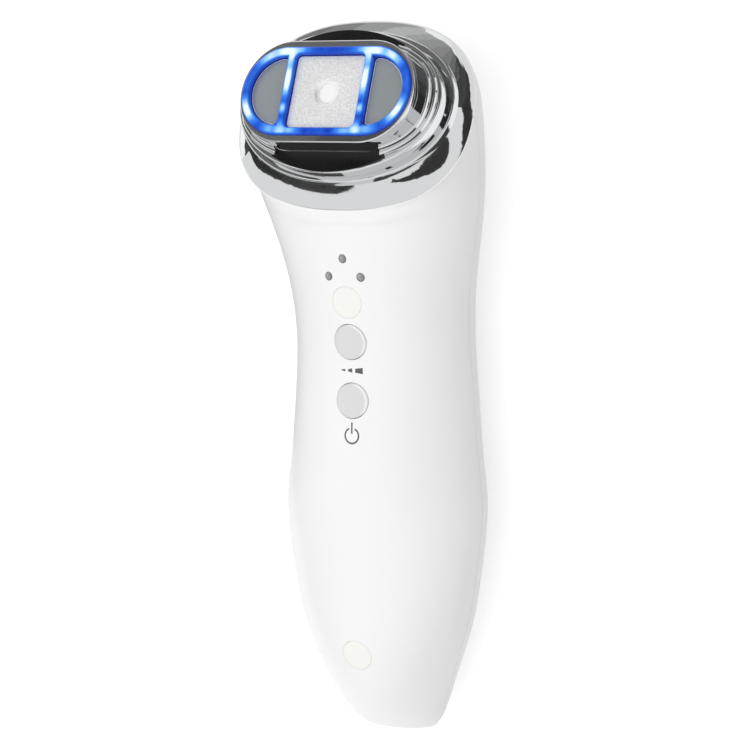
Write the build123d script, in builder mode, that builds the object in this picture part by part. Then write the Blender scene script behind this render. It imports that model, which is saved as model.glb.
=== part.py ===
from build123d import *
from math import cos, hypot, pi, radians, sin
import os

os.makedirs("parts", exist_ok=True)

# Hand-held ultrasonic facial device, lying on its back. Millimetres.
# X runs across, Y along the handle towards the head, Z up out of the button side.

# Handle
tail_to_face = 168.0
shell_wall = 2.0
seam_gap = 0.15
rest_flat_depth = 0.35
oval_points = 24

tail_half_width = 10.5
tail_front = 19.5
tail_back = 7.0
palm_half_width = 27.5
palm_front = 38.1
waist_half_width = 24.6
waist_front = 36.4
neck_half_width = 26.3
neck_front = 39.6
neck_to_face = 45.0

# Cross sections near the tail: distance from the tail end, half width, front height, back height
tail_stations = [
    (0.0, tail_half_width, tail_front, tail_back),
    (3.0, 12.8, 23.3, 4.6),
    (8.0, 15.0, 28.2, 2.3),
    (14.0, 17.3, 32.2, 0.9),
    (23.0, 20.9, 35.8, 0.0),
    (38.0, 25.2, 37.8, 0.0),
    (53.0, palm_half_width, palm_front, 0.0),
]

# Cross sections near the head: distance behind the face centre, half width, front height, back height
head_stations = [
    (100.0, 27.4, 37.4, 0.0),
    (83.0, 25.7, 36.4, 0.0),
    (67.0, waist_half_width, waist_front, 0.0),
    (55.0, 24.8, 38.0, 0.0),
    (neck_to_face, neck_half_width, neck_front, 0.9),
]

# Face of the head, pitched towards the user
face_height = 47.0
face_pitch = 22.0

# Mouth of the body, where the chromed collar sits
mouth_depth = 15.7
mouth_shift = -0.8
mouth_half_width = 33.6
mouth_half_height = 25.5
mouth_fullness = 2.4

# Cross sections that turn from the handle into the mouth: step back from the mouth's front edge
# along Y and Z, lean from upright, depth, half width, fullness
turn_stations = [
    (-2.9, -0.6, 37.1, 42.8, 31.0, 2.2),
    (-0.8, 0.0, 52.8, 49.0, 32.0, 2.3),
]

# Chromed collar: half width, half height, fullness, depth of the top and shift up the face of each step
collar_steps = [
    (26.3, 14.9, 2.5, 4.6, 0.0),
    (27.7, 16.4, 2.3, 5.6, 0.0),
    (29.0, 19.1, 2.05, 6.6, -0.1),
    (30.6, 20.4, 2.1, 10.4, 0.0),
]
step_draft = 0.35
step_crest_radius = 0.45
skirt_top_depth = 12.2
skirt_middle = (31.7, 22.4, 2.2, 13.8)
collar_lip_set_in = 0.35
collar_wall = 1.8
spigot_depth = 3.0
spigot_taper = 1.5
lip_proud = 0.15
lip_end_wall = 0.55
lip_side_wall = 1.65
lip_edge_radius = 0.3

# Light guide round the plate and electrodes
guide_half_width = 23.8
guide_half_height = 11.5
guide_proud = 0.9
guide_thickness = 5.2
guide_edge_radius = 0.6

# Transducer plate, electrodes and what lies behind them
plate_width = 19.4
plate_height = 18.8
plate_corner = 1.2
plate_thickness = 1.2
plate_set_in = 0.4
well_radius = 3.35
well_step_radius = 2.95
well_step_depth = 0.5
well_floor_radius = 2.6
emitter_rim = 1.0
emitter_thickness = 0.5
piezo_radius = 8.0
piezo_thickness = 1.0
electrode_edge_x = 12.2
electrode_centre_x = 12.6
electrode_radius = 8.8
electrode_corner = 1.2
electrode_pin_radius = 0.6
electrode_pin_x = 15.5
electrode_pin_tail = 0.8

# Carrier, light board and screws in the head
led_board_depth = 6.0
led_board_thickness = 1.0
led_length = 1.6
led_width = 0.8
led_height = 0.6
carrier_flange_depth = 10.5
carrier_flange_thickness = 1.8
carrier_flange_half_width = 28.2
carrier_flange_half_height = 16.6
head_screw_x = 25.2
head_screw_y = 5.0
head_screw_radius = 1.0
head_screw_head_radius = 1.9
head_screw_head_height = 1.3
head_screw_length = 4.7

# Dark inlays in the collar, above and below the lip
inlay_thickness = 0.4
inlay_half_width = 26.0
inlay_half_height = 18.6
inlay_inner_reach = 14.9
inlay_outer_reach = 16.1
inlay_step_height = 15.3

# Ribbon cable
ribbon_width = 8.0
ribbon_thickness = 0.4
ribbon_bend = 4.0
ribbon_slot_y = -3.0
ribbon_drop = 8.0
ribbon_landing = 4.0

# Buttons, their guides and switches, placed by their distance behind the face centre
button_radius = 4.5
level_button_back = 63.3
power_button_back = 78.4
button_proud = 0.7
button_edge_radius = 0.6
button_flange_radius = 5.1
button_flange_thickness = 1.0
button_stem_radius = 1.75
button_guide_wall = 1.9
button_guide_drop = 1.6
button_travel = 0.4
switch_side = 6.0
switch_height = 2.2
switch_plunger_radius = 1.5
switch_plunger_proud = 0.5
switch_plunger_depth = 0.6

# Level lights
light_radius = 1.0
light_set_in = 0.35
top_light_back = 41.9
pair_light_back = 46.5
pair_light_x = 4.6
light_bridge_thickness = 1.2
light_bridge_drop = 4.0
indicator_side = 2.0
indicator_height = 0.8

# Printed marks
mark_depth = 0.45
mark_dip = 0.2
level_mark_back = 70.65
power_mark_back = 87.35
power_ring_radius = 1.95
power_ring_line = 0.45
power_gap_half_angle = 24.0
power_bar_length = 2.9

# Bars of the level mark: left and right ends across, height at the left and at the right end
level_bar_sizes = [
    (-3.2, -1.9, 0.15, 0.65),
    (-1.1, 0.15, 0.5, 1.15),
    (1.0, 3.15, 1.0, 1.65),
]

# Case screws under round plugs
plug_radius = 4.1
plug_thickness = 1.0
plug_gap = 0.06
upper_plug_back = 53.1
lower_plug_back = 144.9
case_screw_seat = 24.0
case_screw_radius = 1.5
case_screw_length = 10.0
case_screw_head_radius = 2.75
case_screw_head_height = 2.0
screw_well_radius = 3.1
screw_well_wall = 1.5
screw_well_floor = 1.4
screw_boss_radius = 3.3

# Battery, frame and main board
cell_radius = 9.2
cell_length = 65.0
cell_height = 13.2
cell_tail_gap = 31.0
cell_cap_radius = 2.8
cell_cap_height = 1.0
tab_width = 5.0
tab_thickness = 0.3
frame_wall = 1.5
frame_half_width = 13.0
frame_floor = 6.0
frame_rib_thickness = 1.2
frame_rib_height = 9.5
frame_rib_reach = 3.5
board_height = 27.0
board_thickness = 1.6
board_half_width = 15.0
board_tail_gap = 35.0
board_head_back = 35.5
board_screw_radius = 0.9
board_screw_head_radius = 1.6
board_screw_head_height = 1.1
board_screw_length = 6.0
board_screw_inset = 6.0

# Parts on the main board: length along Y, width, height, and place from the board's tail end
controller_size = (7.0, 7.0, 1.2)
controller_from_end = 38.0
transformer_size = (10.0, 12.0, 4.5)
transformer_from_end = 12.0
inductor_radius = 3.5
inductor_height = 3.6
inductor_from_end = 25.0

# Charging inlet in the tail
jack_height = 13.2
jack_bore_radius = 1.8
jack_bore_length = 2.5
jack_sleeve_radius = 2.0
jack_sleeve_length = 6.0
jack_nose_radius = 2.8
jack_nose_length = 4.0
jack_body_side = 8.0
jack_body_length = 9.0
jack_pin_radius = 0.5
charge_board_set_back = 5.0
charge_board_half_width = 8.5
charge_board_length = 10.0
charge_board_thickness = 1.0
charge_lead_radius = 0.6
charge_lead_x = 7.2
charge_lead_bend = 4.0

# Clearances
running_gap = 0.15
fit_gap = 0.15
thread_gap = 0.05

# Frame of the face: local X across, local Y up the face, local Z out of it
pitch = radians(face_pitch)
mouth_top = (mouth_shift + mouth_half_height) * cos(pitch) - mouth_depth * sin(pitch)
face_y = (tail_to_face - mouth_top) / 2
tail_y = face_y - tail_to_face
face_plane = Plane(
    origin=(0, face_y, face_height),
    x_dir=(1, 0, 0),
    z_dir=(0, sin(pitch), cos(pitch)),
)
face_axis = Axis(origin=face_plane.origin, direction=face_plane.z_dir)


def behind_face(depth):
    return face_plane.offset(-depth)


def face_point(x, y, depth):
    return behind_face(depth).from_local_coords((x, y, 0))


def oval(plane, half_width, half_height, fullness=2.0, shift=0.0):
    points = []
    for index in range(oval_points):
        angle = 2 * pi * index / oval_points - pi / 3
        across = abs(cos(angle) / half_width) ** fullness
        along = abs(sin(angle) / half_height) ** fullness
        reach = (across + along) ** (-1 / fullness)
        points.append((reach * cos(angle), shift + reach * sin(angle)))
    with BuildSketch(plane) as outline:
        with BuildLine():
            Spline(*points, periodic=True)
        make_face()
    return outline.sketch


def stadium(half_width, half_height):
    with BuildSketch() as outline:
        SlotOverall(2 * half_width, 2 * half_height)
    return outline.sketch


def electrode_shape(side, margin=0.0):
    keep = 2 * electrode_radius
    with BuildSketch() as outline:
        with Locations((side * electrode_centre_x, 0)):
            Circle(electrode_radius + margin)
        with Locations((side * (electrode_edge_x - margin + keep / 2), 0)):
            Rectangle(keep, 2 * keep, mode=Mode.INTERSECT)
        fillet(outline.vertices(), electrode_corner + margin)
    return outline.sketch


def plate_shape(margin=0.0):
    with BuildSketch() as outline:
        RectangleRounded(plate_width + 2 * margin, plate_height + 2 * margin, plate_corner + margin)
    return outline.sketch


# Body sections: each is a front point and a back point in the YZ plane, a half width and a fullness
sections = []
for distance, half_width, front, back in tail_stations:
    y = tail_y + distance
    sections.append(((y, front), (y, back - rest_flat_depth), half_width, 2.0))
for distance, half_width, front, back in head_stations:
    y = face_y - distance
    sections.append(((y, front), (y, back - rest_flat_depth), half_width, 2.0))
mouth_front = face_point(0, mouth_shift - mouth_half_height, mouth_depth)
mouth_back = face_point(0, mouth_shift + mouth_half_height, mouth_depth)
for step_y, step_z, lean, depth, half_width, fullness in turn_stations:
    front_y = mouth_front.Y + step_y
    front_z = mouth_front.Z + step_z
    back_y = front_y + depth * sin(radians(lean))
    back_z = front_z - depth * cos(radians(lean))
    sections.append(((front_y, front_z), (back_y, back_z), half_width, fullness))
mouth_section = (
    (mouth_front.Y, mouth_front.Z),
    (mouth_back.Y, mouth_back.Z),
    mouth_half_width,
    mouth_fullness,
)
sections.append(mouth_section)


def section_face(section, inset=0.0, lift=0.0):
    (front_y, front_z), (back_y, back_z), half_width, fullness = section
    depth = hypot(front_y - back_y, front_z - back_z)
    up = ((front_y - back_y) / depth, (front_z - back_z) / depth)
    centre = Vector(0, (front_y + back_y) / 2, (front_z + back_z) / 2)
    plane = Plane(origin=centre, x_dir=(1, 0, 0), z_dir=(0, -up[1], up[0])).offset(-lift)
    return oval(plane, half_width - inset, depth / 2 - inset, fullness)


def front_height(y):
    heights = [section[0] for section in sections[: len(tail_stations) + len(head_stations) + 1]]
    for (y0, z0), (y1, z1) in zip(heights, heights[1:]):
        if y0 <= y <= y1:
            return z0 + (z1 - z0) * (y - y0) / (y1 - y0)
    return heights[-1][1]


def front_plane(y, reach, depth=0.0):
    rise = (front_height(y + reach) - front_height(y - reach)) / (2 * reach)
    plane = Plane(origin=(0, y, front_height(y)), x_dir=(1, 0, 0), z_dir=(0, -rise, 1))
    return plane.offset(-depth)


# Solid body, inside and out
with BuildPart() as body_outer:
    loft([section_face(section) for section in sections])

with BuildPart() as body_inner:
    inner_faces = [section_face(section, shell_wall) for section in sections[1:]]
    inner_faces.append(section_face(mouth_section, shell_wall, lift=1.0))
    loft(inner_faces)

# Region in front of the side seam, which follows the middle of the sections
seam_top = face_height + 40


def front_region(grow=0.0):
    line = []
    for (front_y, front_z), (back_y, back_z), _, _ in sections:
        depth = hypot(front_y - back_y, front_z - back_z)
        y = (front_y + back_y) / 2 - grow * (front_y - back_y) / depth
        z = (front_z + back_z) / 2 - grow * (front_z - back_z) / depth
        line.append((y, z))
    start = (line[0][0] - 10, line[0][1])
    end_point = face_point(0, mouth_shift + grow, mouth_depth - 20)
    end = (end_point.Y, end_point.Z)
    with BuildPart() as region:
        with BuildSketch(Plane.YZ):
            with BuildLine():
                Spline(start, *line, end)
                Polyline(end, (end[0], seam_top), (start[0], seam_top), start)
            make_face()
        extrude(amount=2 * mouth_half_width, both=True)
    return region.part


# Heights shared by the buttons, switches and lights
board_top = board_height + board_thickness
level_button_y = face_y - level_button_back
power_button_y = face_y - power_button_back
top_light_y = face_y - top_light_back
pair_light_y = face_y - pair_light_back
upper_plug_y = face_y - upper_plug_back
lower_plug_y = face_y - lower_plug_back
light_spots = [(0, top_light_y), (-pair_light_x, pair_light_y), (pair_light_x, pair_light_y)]
button_spots = {"level": level_button_y, "power": power_button_y}
plug_spots = {"upper": upper_plug_y, "lower": lower_plug_y}
guide_radius = button_radius + running_gap + button_guide_wall


def level_bars(plane):
    with BuildSketch(plane) as bars:
        with Locations((0, face_y - level_mark_back)):
            for left, right, left_height, right_height in level_bar_sizes:
                Polygon(
                    (left, -left_height / 2),
                    (right, -right_height / 2),
                    (right, right_height / 2),
                    (left, left_height / 2),
                    align=None,
                )
    return bars.sketch


def power_symbol(plane):
    centre = (0, face_y - power_mark_back)
    reach = 2 * power_ring_radius
    half_opening = reach * sin(radians(power_gap_half_angle)) / cos(radians(power_gap_half_angle))
    with BuildSketch(plane) as symbol:
        with Locations(centre):
            Circle(power_ring_radius + power_ring_line / 2)
            Circle(power_ring_radius - power_ring_line / 2, mode=Mode.SUBTRACT)
            Polygon((0, 0), (half_opening, reach), (-half_opening, reach), align=None, mode=Mode.SUBTRACT)
        with Locations((0, centre[1] + power_ring_radius)):
            Rectangle(power_ring_line, power_bar_length)
    return symbol.sketch


def mark_floor(y):
    return front_height(y) - mark_depth - mark_dip


level_mark_plane = Plane.XY.offset(mark_floor(face_y - level_mark_back))
power_mark_plane = Plane.XY.offset(mark_floor(face_y - power_mark_back))

# Front shell: button side, with guides, light holes, screw wells and the marks' shallow beds
with BuildPart() as front_shell:
    add(body_outer.part)
    add(body_inner.part, mode=Mode.SUBTRACT)
    add(front_region(), mode=Mode.INTERSECT)
    with BuildPart(mode=Mode.PRIVATE) as front_inside:
        for y in button_spots.values():
            with BuildSketch(Plane.XY.offset(front_height(y) - shell_wall - button_guide_drop)):
                with Locations((0, y)):
                    Circle(guide_radius)
            extrude(amount=shell_wall + button_guide_drop)
        for y in plug_spots.values():
            with BuildSketch(Plane.XY.offset(case_screw_seat - screw_well_floor)):
                with Locations((0, y)):
                    Circle(screw_well_radius + screw_well_wall)
            extrude(amount=front_height(y) - case_screw_seat + screw_well_floor)
        add(body_outer.part, mode=Mode.INTERSECT)
    add(front_inside.part)
    with BuildPart(mode=Mode.PRIVATE) as front_openings:
        for y in button_spots.values():
            with BuildSketch(Plane.XY.offset(front_height(y) - 2 * shell_wall - button_guide_drop)):
                with Locations((0, y)):
                    Circle(button_radius + running_gap)
            extrude(amount=3 * shell_wall + button_guide_drop)
        for y in plug_spots.values():
            with BuildSketch(front_plane(y, plug_radius, plug_thickness)):
                Circle(plug_radius + plug_gap)
            extrude(amount=3 * plug_thickness)
            with BuildSketch(Plane.XY.offset(case_screw_seat)):
                with Locations((0, y)):
                    Circle(screw_well_radius)
            extrude(amount=front_height(y) - case_screw_seat)
            with BuildSketch(Plane.XY.offset(case_screw_seat)):
                with Locations((0, y)):
                    Circle(case_screw_radius + fit_gap)
            extrude(amount=-2 * screw_well_floor)
        with BuildSketch(Plane.XY.offset(board_top)):
            with Locations(*light_spots):
                Circle(light_radius + fit_gap)
        extrude(amount=face_height - board_top)
        extrude(level_bars(level_mark_plane), amount=shell_wall)
        extrude(power_symbol(power_mark_plane), amount=shell_wall)
        with BuildSketch(Plane(origin=(0, tail_y, jack_height), z_dir=(0, 1, 0))):
            Circle(jack_nose_radius + fit_gap)
        extrude(amount=2 * jack_nose_length, both=True)
    add(front_openings.part, mode=Mode.SUBTRACT)

# Rear shell: the back of the handle and the dome of the head, with bosses and ribs
cell_tail_y = tail_y + cell_tail_gap
cell_head_y = cell_tail_y + cell_length
frame_tail_y = cell_tail_y - tab_thickness - fit_gap - frame_wall
frame_head_y = cell_head_y + cell_cap_height + tab_thickness + fit_gap + frame_wall
frame_middle_y = (frame_tail_y + frame_head_y) / 2
frame_length = frame_head_y - frame_tail_y
rib_spots = [(side * (frame_half_width + fit_gap + frame_rib_thickness / 2), frame_middle_y + shift)
             for side in (-1, 1) for shift in (-frame_length / 4, frame_length / 4)]

with BuildPart() as rear_shell:
    add(body_outer.part)
    add(body_inner.part, mode=Mode.SUBTRACT)
    add(front_region(seam_gap), mode=Mode.SUBTRACT)
    with BuildPart(mode=Mode.PRIVATE) as rear_inside:
        with BuildSketch(Plane.XY):
            with Locations(*[(0, y) for y in plug_spots.values()]):
                Circle(screw_boss_radius)
        extrude(amount=case_screw_seat - screw_well_floor - fit_gap)
        with BuildSketch(Plane.XY):
            with Locations(*rib_spots):
                Rectangle(frame_rib_thickness, frame_rib_reach)
        extrude(amount=frame_rib_height)
        add(body_outer.part, mode=Mode.INTERSECT)
    add(rear_inside.part)
    with BuildPart(mode=Mode.PRIVATE) as rear_openings:
        with BuildSketch(Plane.XY.offset(case_screw_seat)):
            with Locations(*[(0, y) for y in plug_spots.values()]):
                Circle(case_screw_radius + thread_gap)
        extrude(amount=-(case_screw_length + 1))
        with BuildSketch(Plane(origin=(0, tail_y, jack_height), z_dir=(0, 1, 0))):
            Circle(jack_nose_radius + fit_gap)
        extrude(amount=2 * jack_nose_length, both=True)
        with BuildSketch(Plane.XY):
            Rectangle(4 * mouth_half_width, 2 * tail_to_face)
        extrude(amount=-2 * shell_wall)
    add(rear_openings.part, mode=Mode.SUBTRACT)

front_shell.part.label = "front_shell"
rear_shell.part.label = "rear_shell"
export_step(front_shell.part, "parts/front_shell.step")
export_step(rear_shell.part, "parts/rear_shell.step")

# Chromed head collar: a lip round the light guide, stepped rings, a flared skirt and a spigot
# that centres in the mouth of the shells
rim_half_width = mouth_half_width - collar_lip_set_in
rim_half_height = mouth_half_height - collar_lip_set_in
post_half_width = guide_half_width + fit_gap + lip_end_wall
post_half_height = guide_half_height + fit_gap + lip_side_wall
step_tops = [step[3] for step in collar_steps] + [skirt_top_depth]


def collar_step(half_width, half_height, fullness, top_depth, shift, bottom_depth):
    top = oval(behind_face(top_depth), half_width - step_draft, half_height - step_draft, fullness, shift)
    bottom = oval(behind_face(bottom_depth), half_width, half_height, fullness, shift)
    with BuildPart() as step:
        loft([bottom, top], ruled=True)
        fillet(step.faces().sort_by(face_axis)[-1].edges(), step_crest_radius)
    return step.part


with BuildPart() as head_collar:
    with BuildSketch(behind_face(-lip_proud)):
        add(stadium(post_half_width, post_half_height))
    extrude(amount=-(lip_proud + skirt_top_depth))
    fillet(head_collar.faces().sort_by(face_axis)[-1].edges(), lip_edge_radius)
    for step, bottom_depth in zip(collar_steps, step_tops[1:]):
        add(collar_step(*step, bottom_depth))
    last_width, last_height, last_fullness, _, last_shift = collar_steps[-1]
    middle_width, middle_height, middle_fullness, middle_depth = skirt_middle
    loft([
        oval(behind_face(mouth_depth), rim_half_width, rim_half_height, mouth_fullness, mouth_shift),
        oval(behind_face(middle_depth), middle_width, middle_height, middle_fullness, mouth_shift / 2),
        oval(behind_face(skirt_top_depth), last_width, last_height, last_fullness, last_shift),
    ])
    loft([
        oval(
            behind_face(mouth_depth + spigot_depth),
            mouth_half_width - shell_wall - fit_gap - spigot_taper,
            mouth_half_height - shell_wall - fit_gap - spigot_taper,
            mouth_fullness,
            mouth_shift,
        ),
        oval(
            behind_face(mouth_depth),
            mouth_half_width - shell_wall - fit_gap,
            mouth_half_height - shell_wall - fit_gap,
            mouth_fullness,
            mouth_shift,
        ),
    ], ruled=True)
    hollow_width = mouth_half_width - shell_wall - fit_gap - spigot_taper - collar_wall
    hollow_height = mouth_half_height - shell_wall - fit_gap - spigot_taper - collar_wall
    loft([
        oval(
            behind_face(mouth_depth + spigot_depth),
            hollow_width,
            hollow_height,
            mouth_fullness,
            mouth_shift,
        ),
        oval(
            behind_face(carrier_flange_depth),
            last_width - collar_wall,
            last_height - collar_wall,
            last_fullness,
        ),
    ], ruled=True, mode=Mode.SUBTRACT)
    with BuildSketch(behind_face(-lip_proud)):
        add(stadium(guide_half_width + fit_gap, guide_half_height + fit_gap))
    extrude(amount=-(lip_proud + carrier_flange_depth + 1), mode=Mode.SUBTRACT)
    inner_half_height = collar_steps[0][1]
    land_depth, land_shift = collar_steps[2][3:]
    for side in (-1, 1):
        with BuildSketch(behind_face(-lip_proud)):
            with Locations((0, side * inlay_step_height / 2)):
                Rectangle(2 * inlay_inner_reach, inlay_step_height)
            with Locations((0, side * (inlay_step_height - 1 + inner_half_height / 2))):
                Rectangle(2 * inlay_outer_reach, inner_half_height)
            add(stadium(post_half_width, post_half_height), mode=Mode.SUBTRACT)
        extrude(amount=-(lip_proud + land_depth), mode=Mode.SUBTRACT)
    with BuildSketch(behind_face(carrier_flange_depth)):
        with GridLocations(2 * head_screw_x, 2 * head_screw_y, 2, 2):
            Circle(head_screw_radius + thread_gap)
    extrude(amount=head_screw_length - carrier_flange_thickness + 0.5, mode=Mode.SUBTRACT)
head_collar.part.label = "head_collar"
export_step(head_collar.part, "parts/head_collar.step")

# Dark inlays on the collar's land, above and below the lip
for name, side in (("upper_inlay", 1), ("lower_inlay", -1)):
    with BuildPart() as inlay:
        with BuildSketch(behind_face(land_depth)):
            with Locations((0, side * inlay_step_height / 2)):
                Rectangle(2 * (inlay_inner_reach - fit_gap), inlay_step_height)
            with Locations((0, side * (inlay_step_height - 1 + fit_gap + inner_half_height / 2))):
                Rectangle(2 * (inlay_outer_reach - fit_gap), inner_half_height)
            add(oval(Plane.XY, inlay_half_width, inlay_half_height, 2.0, land_shift), mode=Mode.INTERSECT)
            add(stadium(post_half_width + fit_gap, post_half_height + fit_gap), mode=Mode.SUBTRACT)
        extrude(amount=inlay_thickness)
    inlay.part.label = name
    export_step(inlay.part, f"parts/{name}.step")

# Light guide: a clear ring with two cross bars, standing proud of the lip, plate and electrodes
with BuildPart() as light_guide:
    with BuildSketch(behind_face(-guide_proud)):
        add(stadium(guide_half_width, guide_half_height))
        add(plate_shape(fit_gap), mode=Mode.SUBTRACT)
        for side in (-1, 1):
            add(electrode_shape(side, fit_gap), mode=Mode.SUBTRACT)
    extrude(amount=-(guide_proud + guide_thickness))
    fillet(light_guide.faces().sort_by(face_axis)[-1].edges(), guide_edge_radius)
light_guide.part.label = "light_guide"
export_step(light_guide.part, "parts/light_guide.step")

# Transducer plate with a round stepped well, the emitter disc that floors it and the piezo disc behind
plate_back = plate_set_in + plate_thickness
emitter_back = plate_back + emitter_thickness
emitter_radius = well_floor_radius + emitter_rim
with BuildPart() as transducer_plate:
    with BuildSketch(behind_face(plate_set_in)):
        add(plate_shape())
    extrude(amount=-plate_thickness)
    with BuildSketch(behind_face(plate_set_in)):
        Circle(well_radius)
    extrude(amount=-well_step_depth, mode=Mode.SUBTRACT)
    with BuildSketch(behind_face(plate_set_in + well_step_depth)):
        Circle(well_step_radius)
    with BuildSketch(behind_face(plate_back)):
        Circle(well_floor_radius)
    loft(mode=Mode.SUBTRACT)
transducer_plate.part.label = "transducer_plate"
export_step(transducer_plate.part, "parts/transducer_plate.step")

with BuildPart() as emitter_disc:
    with BuildSketch(behind_face(plate_back)):
        Circle(emitter_radius)
    extrude(amount=-emitter_thickness)
emitter_disc.part.label = "emitter_disc"
export_step(emitter_disc.part, "parts/emitter_disc.step")

with BuildPart() as piezo_disc:
    with BuildSketch(behind_face(emitter_back)):
        Circle(piezo_radius)
    extrude(amount=-piezo_thickness)
piezo_disc.part.label = "piezo_disc"
export_step(piezo_disc.part, "parts/piezo_disc.step")

# Half-disc electrodes, each with a contact pin to the back of the carrier
carrier_back = carrier_flange_depth + carrier_flange_thickness
for name, side in (("left", -1), ("right", 1)):
    with BuildPart() as electrode:
        with BuildSketch(behind_face(plate_set_in)):
            add(electrode_shape(side))
        extrude(amount=-plate_thickness)
    electrode.part.label = f"{name}_electrode"
    export_step(electrode.part, f"parts/{name}_electrode.step")
    with BuildPart() as pin:
        with BuildSketch(behind_face(plate_back)):
            with Locations((side * electrode_pin_x, 0)):
                Circle(electrode_pin_radius)
        extrude(amount=-(carrier_back + electrode_pin_tail - plate_back))
    pin.part.label = f"{name}_electrode_pin"
    export_step(pin.part, f"parts/{name}_electrode_pin.step")

# Carrier: islands under the plate and electrodes, a core behind the light board and a flange
# screwed to the back of the collar
board_back_depth = led_board_depth + led_board_thickness
with BuildPart() as head_carrier:
    with BuildSketch(behind_face(carrier_flange_depth)):
        add(oval(Plane.XY, carrier_flange_half_width, carrier_flange_half_height, last_fullness))
    extrude(amount=-carrier_flange_thickness)
    with BuildSketch(behind_face(carrier_flange_depth)):
        add(stadium(guide_half_width, guide_half_height))
    extrude(amount=carrier_flange_depth - board_back_depth)
    with BuildSketch(behind_face(board_back_depth)):
        add(plate_shape())
        for side in (-1, 1):
            add(electrode_shape(side))
    extrude(amount=board_back_depth - plate_back)
    with BuildSketch(behind_face(plate_back)):
        Circle(piezo_radius + fit_gap)
    extrude(amount=-(emitter_thickness + piezo_thickness + 0.6), mode=Mode.SUBTRACT)
    with BuildSketch(behind_face(plate_back)):
        Circle(piezo_radius / 6)
        with Locations((-electrode_pin_x, 0), (electrode_pin_x, 0)):
            Circle(electrode_pin_radius + thread_gap)
    extrude(amount=-carrier_back, mode=Mode.SUBTRACT)
    with BuildSketch(behind_face(board_back_depth)):
        with Locations((0, ribbon_slot_y)):
            Rectangle(ribbon_width + 2 * fit_gap, ribbon_thickness + 2 * fit_gap)
    extrude(amount=-carrier_back, mode=Mode.SUBTRACT)
    with BuildSketch(behind_face(carrier_flange_depth)):
        with GridLocations(2 * head_screw_x, 2 * head_screw_y, 2, 2):
            Circle(head_screw_radius + fit_gap)
    extrude(amount=-carrier_flange_thickness, mode=Mode.SUBTRACT)
head_carrier.part.label = "head_carrier"
export_step(head_carrier.part, "parts/head_carrier.step")

# Light board behind the guide, with a light at each bar end, in the bars and at the round ends
bar_middle = (plate_width / 2 + electrode_edge_x) / 2
rim_middle = (guide_half_height + plate_height / 2) / 2
end_middle = (guide_half_width + electrode_centre_x + electrode_radius) / 2
with BuildPart() as led_board:
    with BuildSketch(behind_face(led_board_depth)):
        add(stadium(guide_half_width, guide_half_height))
        add(plate_shape(fit_gap), mode=Mode.SUBTRACT)
        for side in (-1, 1):
            add(electrode_shape(side, fit_gap), mode=Mode.SUBTRACT)
    extrude(amount=-led_board_thickness)
led_board.part.label = "led_board"
export_step(led_board.part, "parts/led_board.step")

led_spots = [(side * bar_middle, row * rim_middle, 0) for side in (-1, 1) for row in (-1, 1)]
led_spots += [(side * bar_middle, 0, 90) for side in (-1, 1)]
led_spots += [(side * end_middle, 0, 90) for side in (-1, 1)]
for number, (x, y, turn) in enumerate(led_spots, start=1):
    with BuildPart() as head_led:
        with BuildSketch(behind_face(led_board_depth)):
            with Locations((x, y)):
                Rectangle(led_length, led_width, rotation=turn)
        extrude(amount=led_height)
    head_led.part.label = f"head_led_{number}"
    export_step(head_led.part, f"parts/head_led_{number}.step")

# Screws that hold the carrier in the collar
screw_number = 0
for x in (-head_screw_x, head_screw_x):
    for y in (-head_screw_y, head_screw_y):
        screw_number += 1
        with BuildPart() as head_screw:
            with BuildSketch(behind_face(carrier_back)):
                with Locations((x, y)):
                    Circle(head_screw_radius)
            extrude(amount=head_screw_length)
            with BuildSketch(behind_face(carrier_back)):
                with Locations((x, y)):
                    Circle(head_screw_head_radius)
            extrude(amount=-head_screw_head_height)
        head_screw.part.label = f"head_screw_{screw_number}"
        export_step(head_screw.part, f"parts/head_screw_{screw_number}.step")

# Ribbon cable from the light board, through the carrier's slot, down onto the main board
board_head_y = face_y - board_head_back
ribbon_height = board_top + ribbon_thickness / 2
ribbon_start = face_point(0, ribbon_slot_y, board_back_depth)
ribbon_below = face_point(0, ribbon_slot_y, carrier_back + ribbon_drop)
ribbon_turn_y = board_head_y + ribbon_landing
ribbon_points = [
    ribbon_start,
    ribbon_below,
    Vector(0, ribbon_turn_y, ribbon_height),
    Vector(0, board_head_y - ribbon_landing, ribbon_height),
]
with BuildPart() as head_ribbon:
    with BuildLine() as ribbon_path:
        FilletPolyline(*ribbon_points, radius=ribbon_bend)
    with BuildSketch(Plane(origin=ribbon_start, x_dir=(1, 0, 0), z_dir=-face_plane.z_dir)):
        Rectangle(ribbon_width, ribbon_thickness)
    sweep(path=ribbon_path.wires()[0])
head_ribbon.part.label = "head_ribbon"
export_step(head_ribbon.part, "parts/head_ribbon.step")

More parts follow.
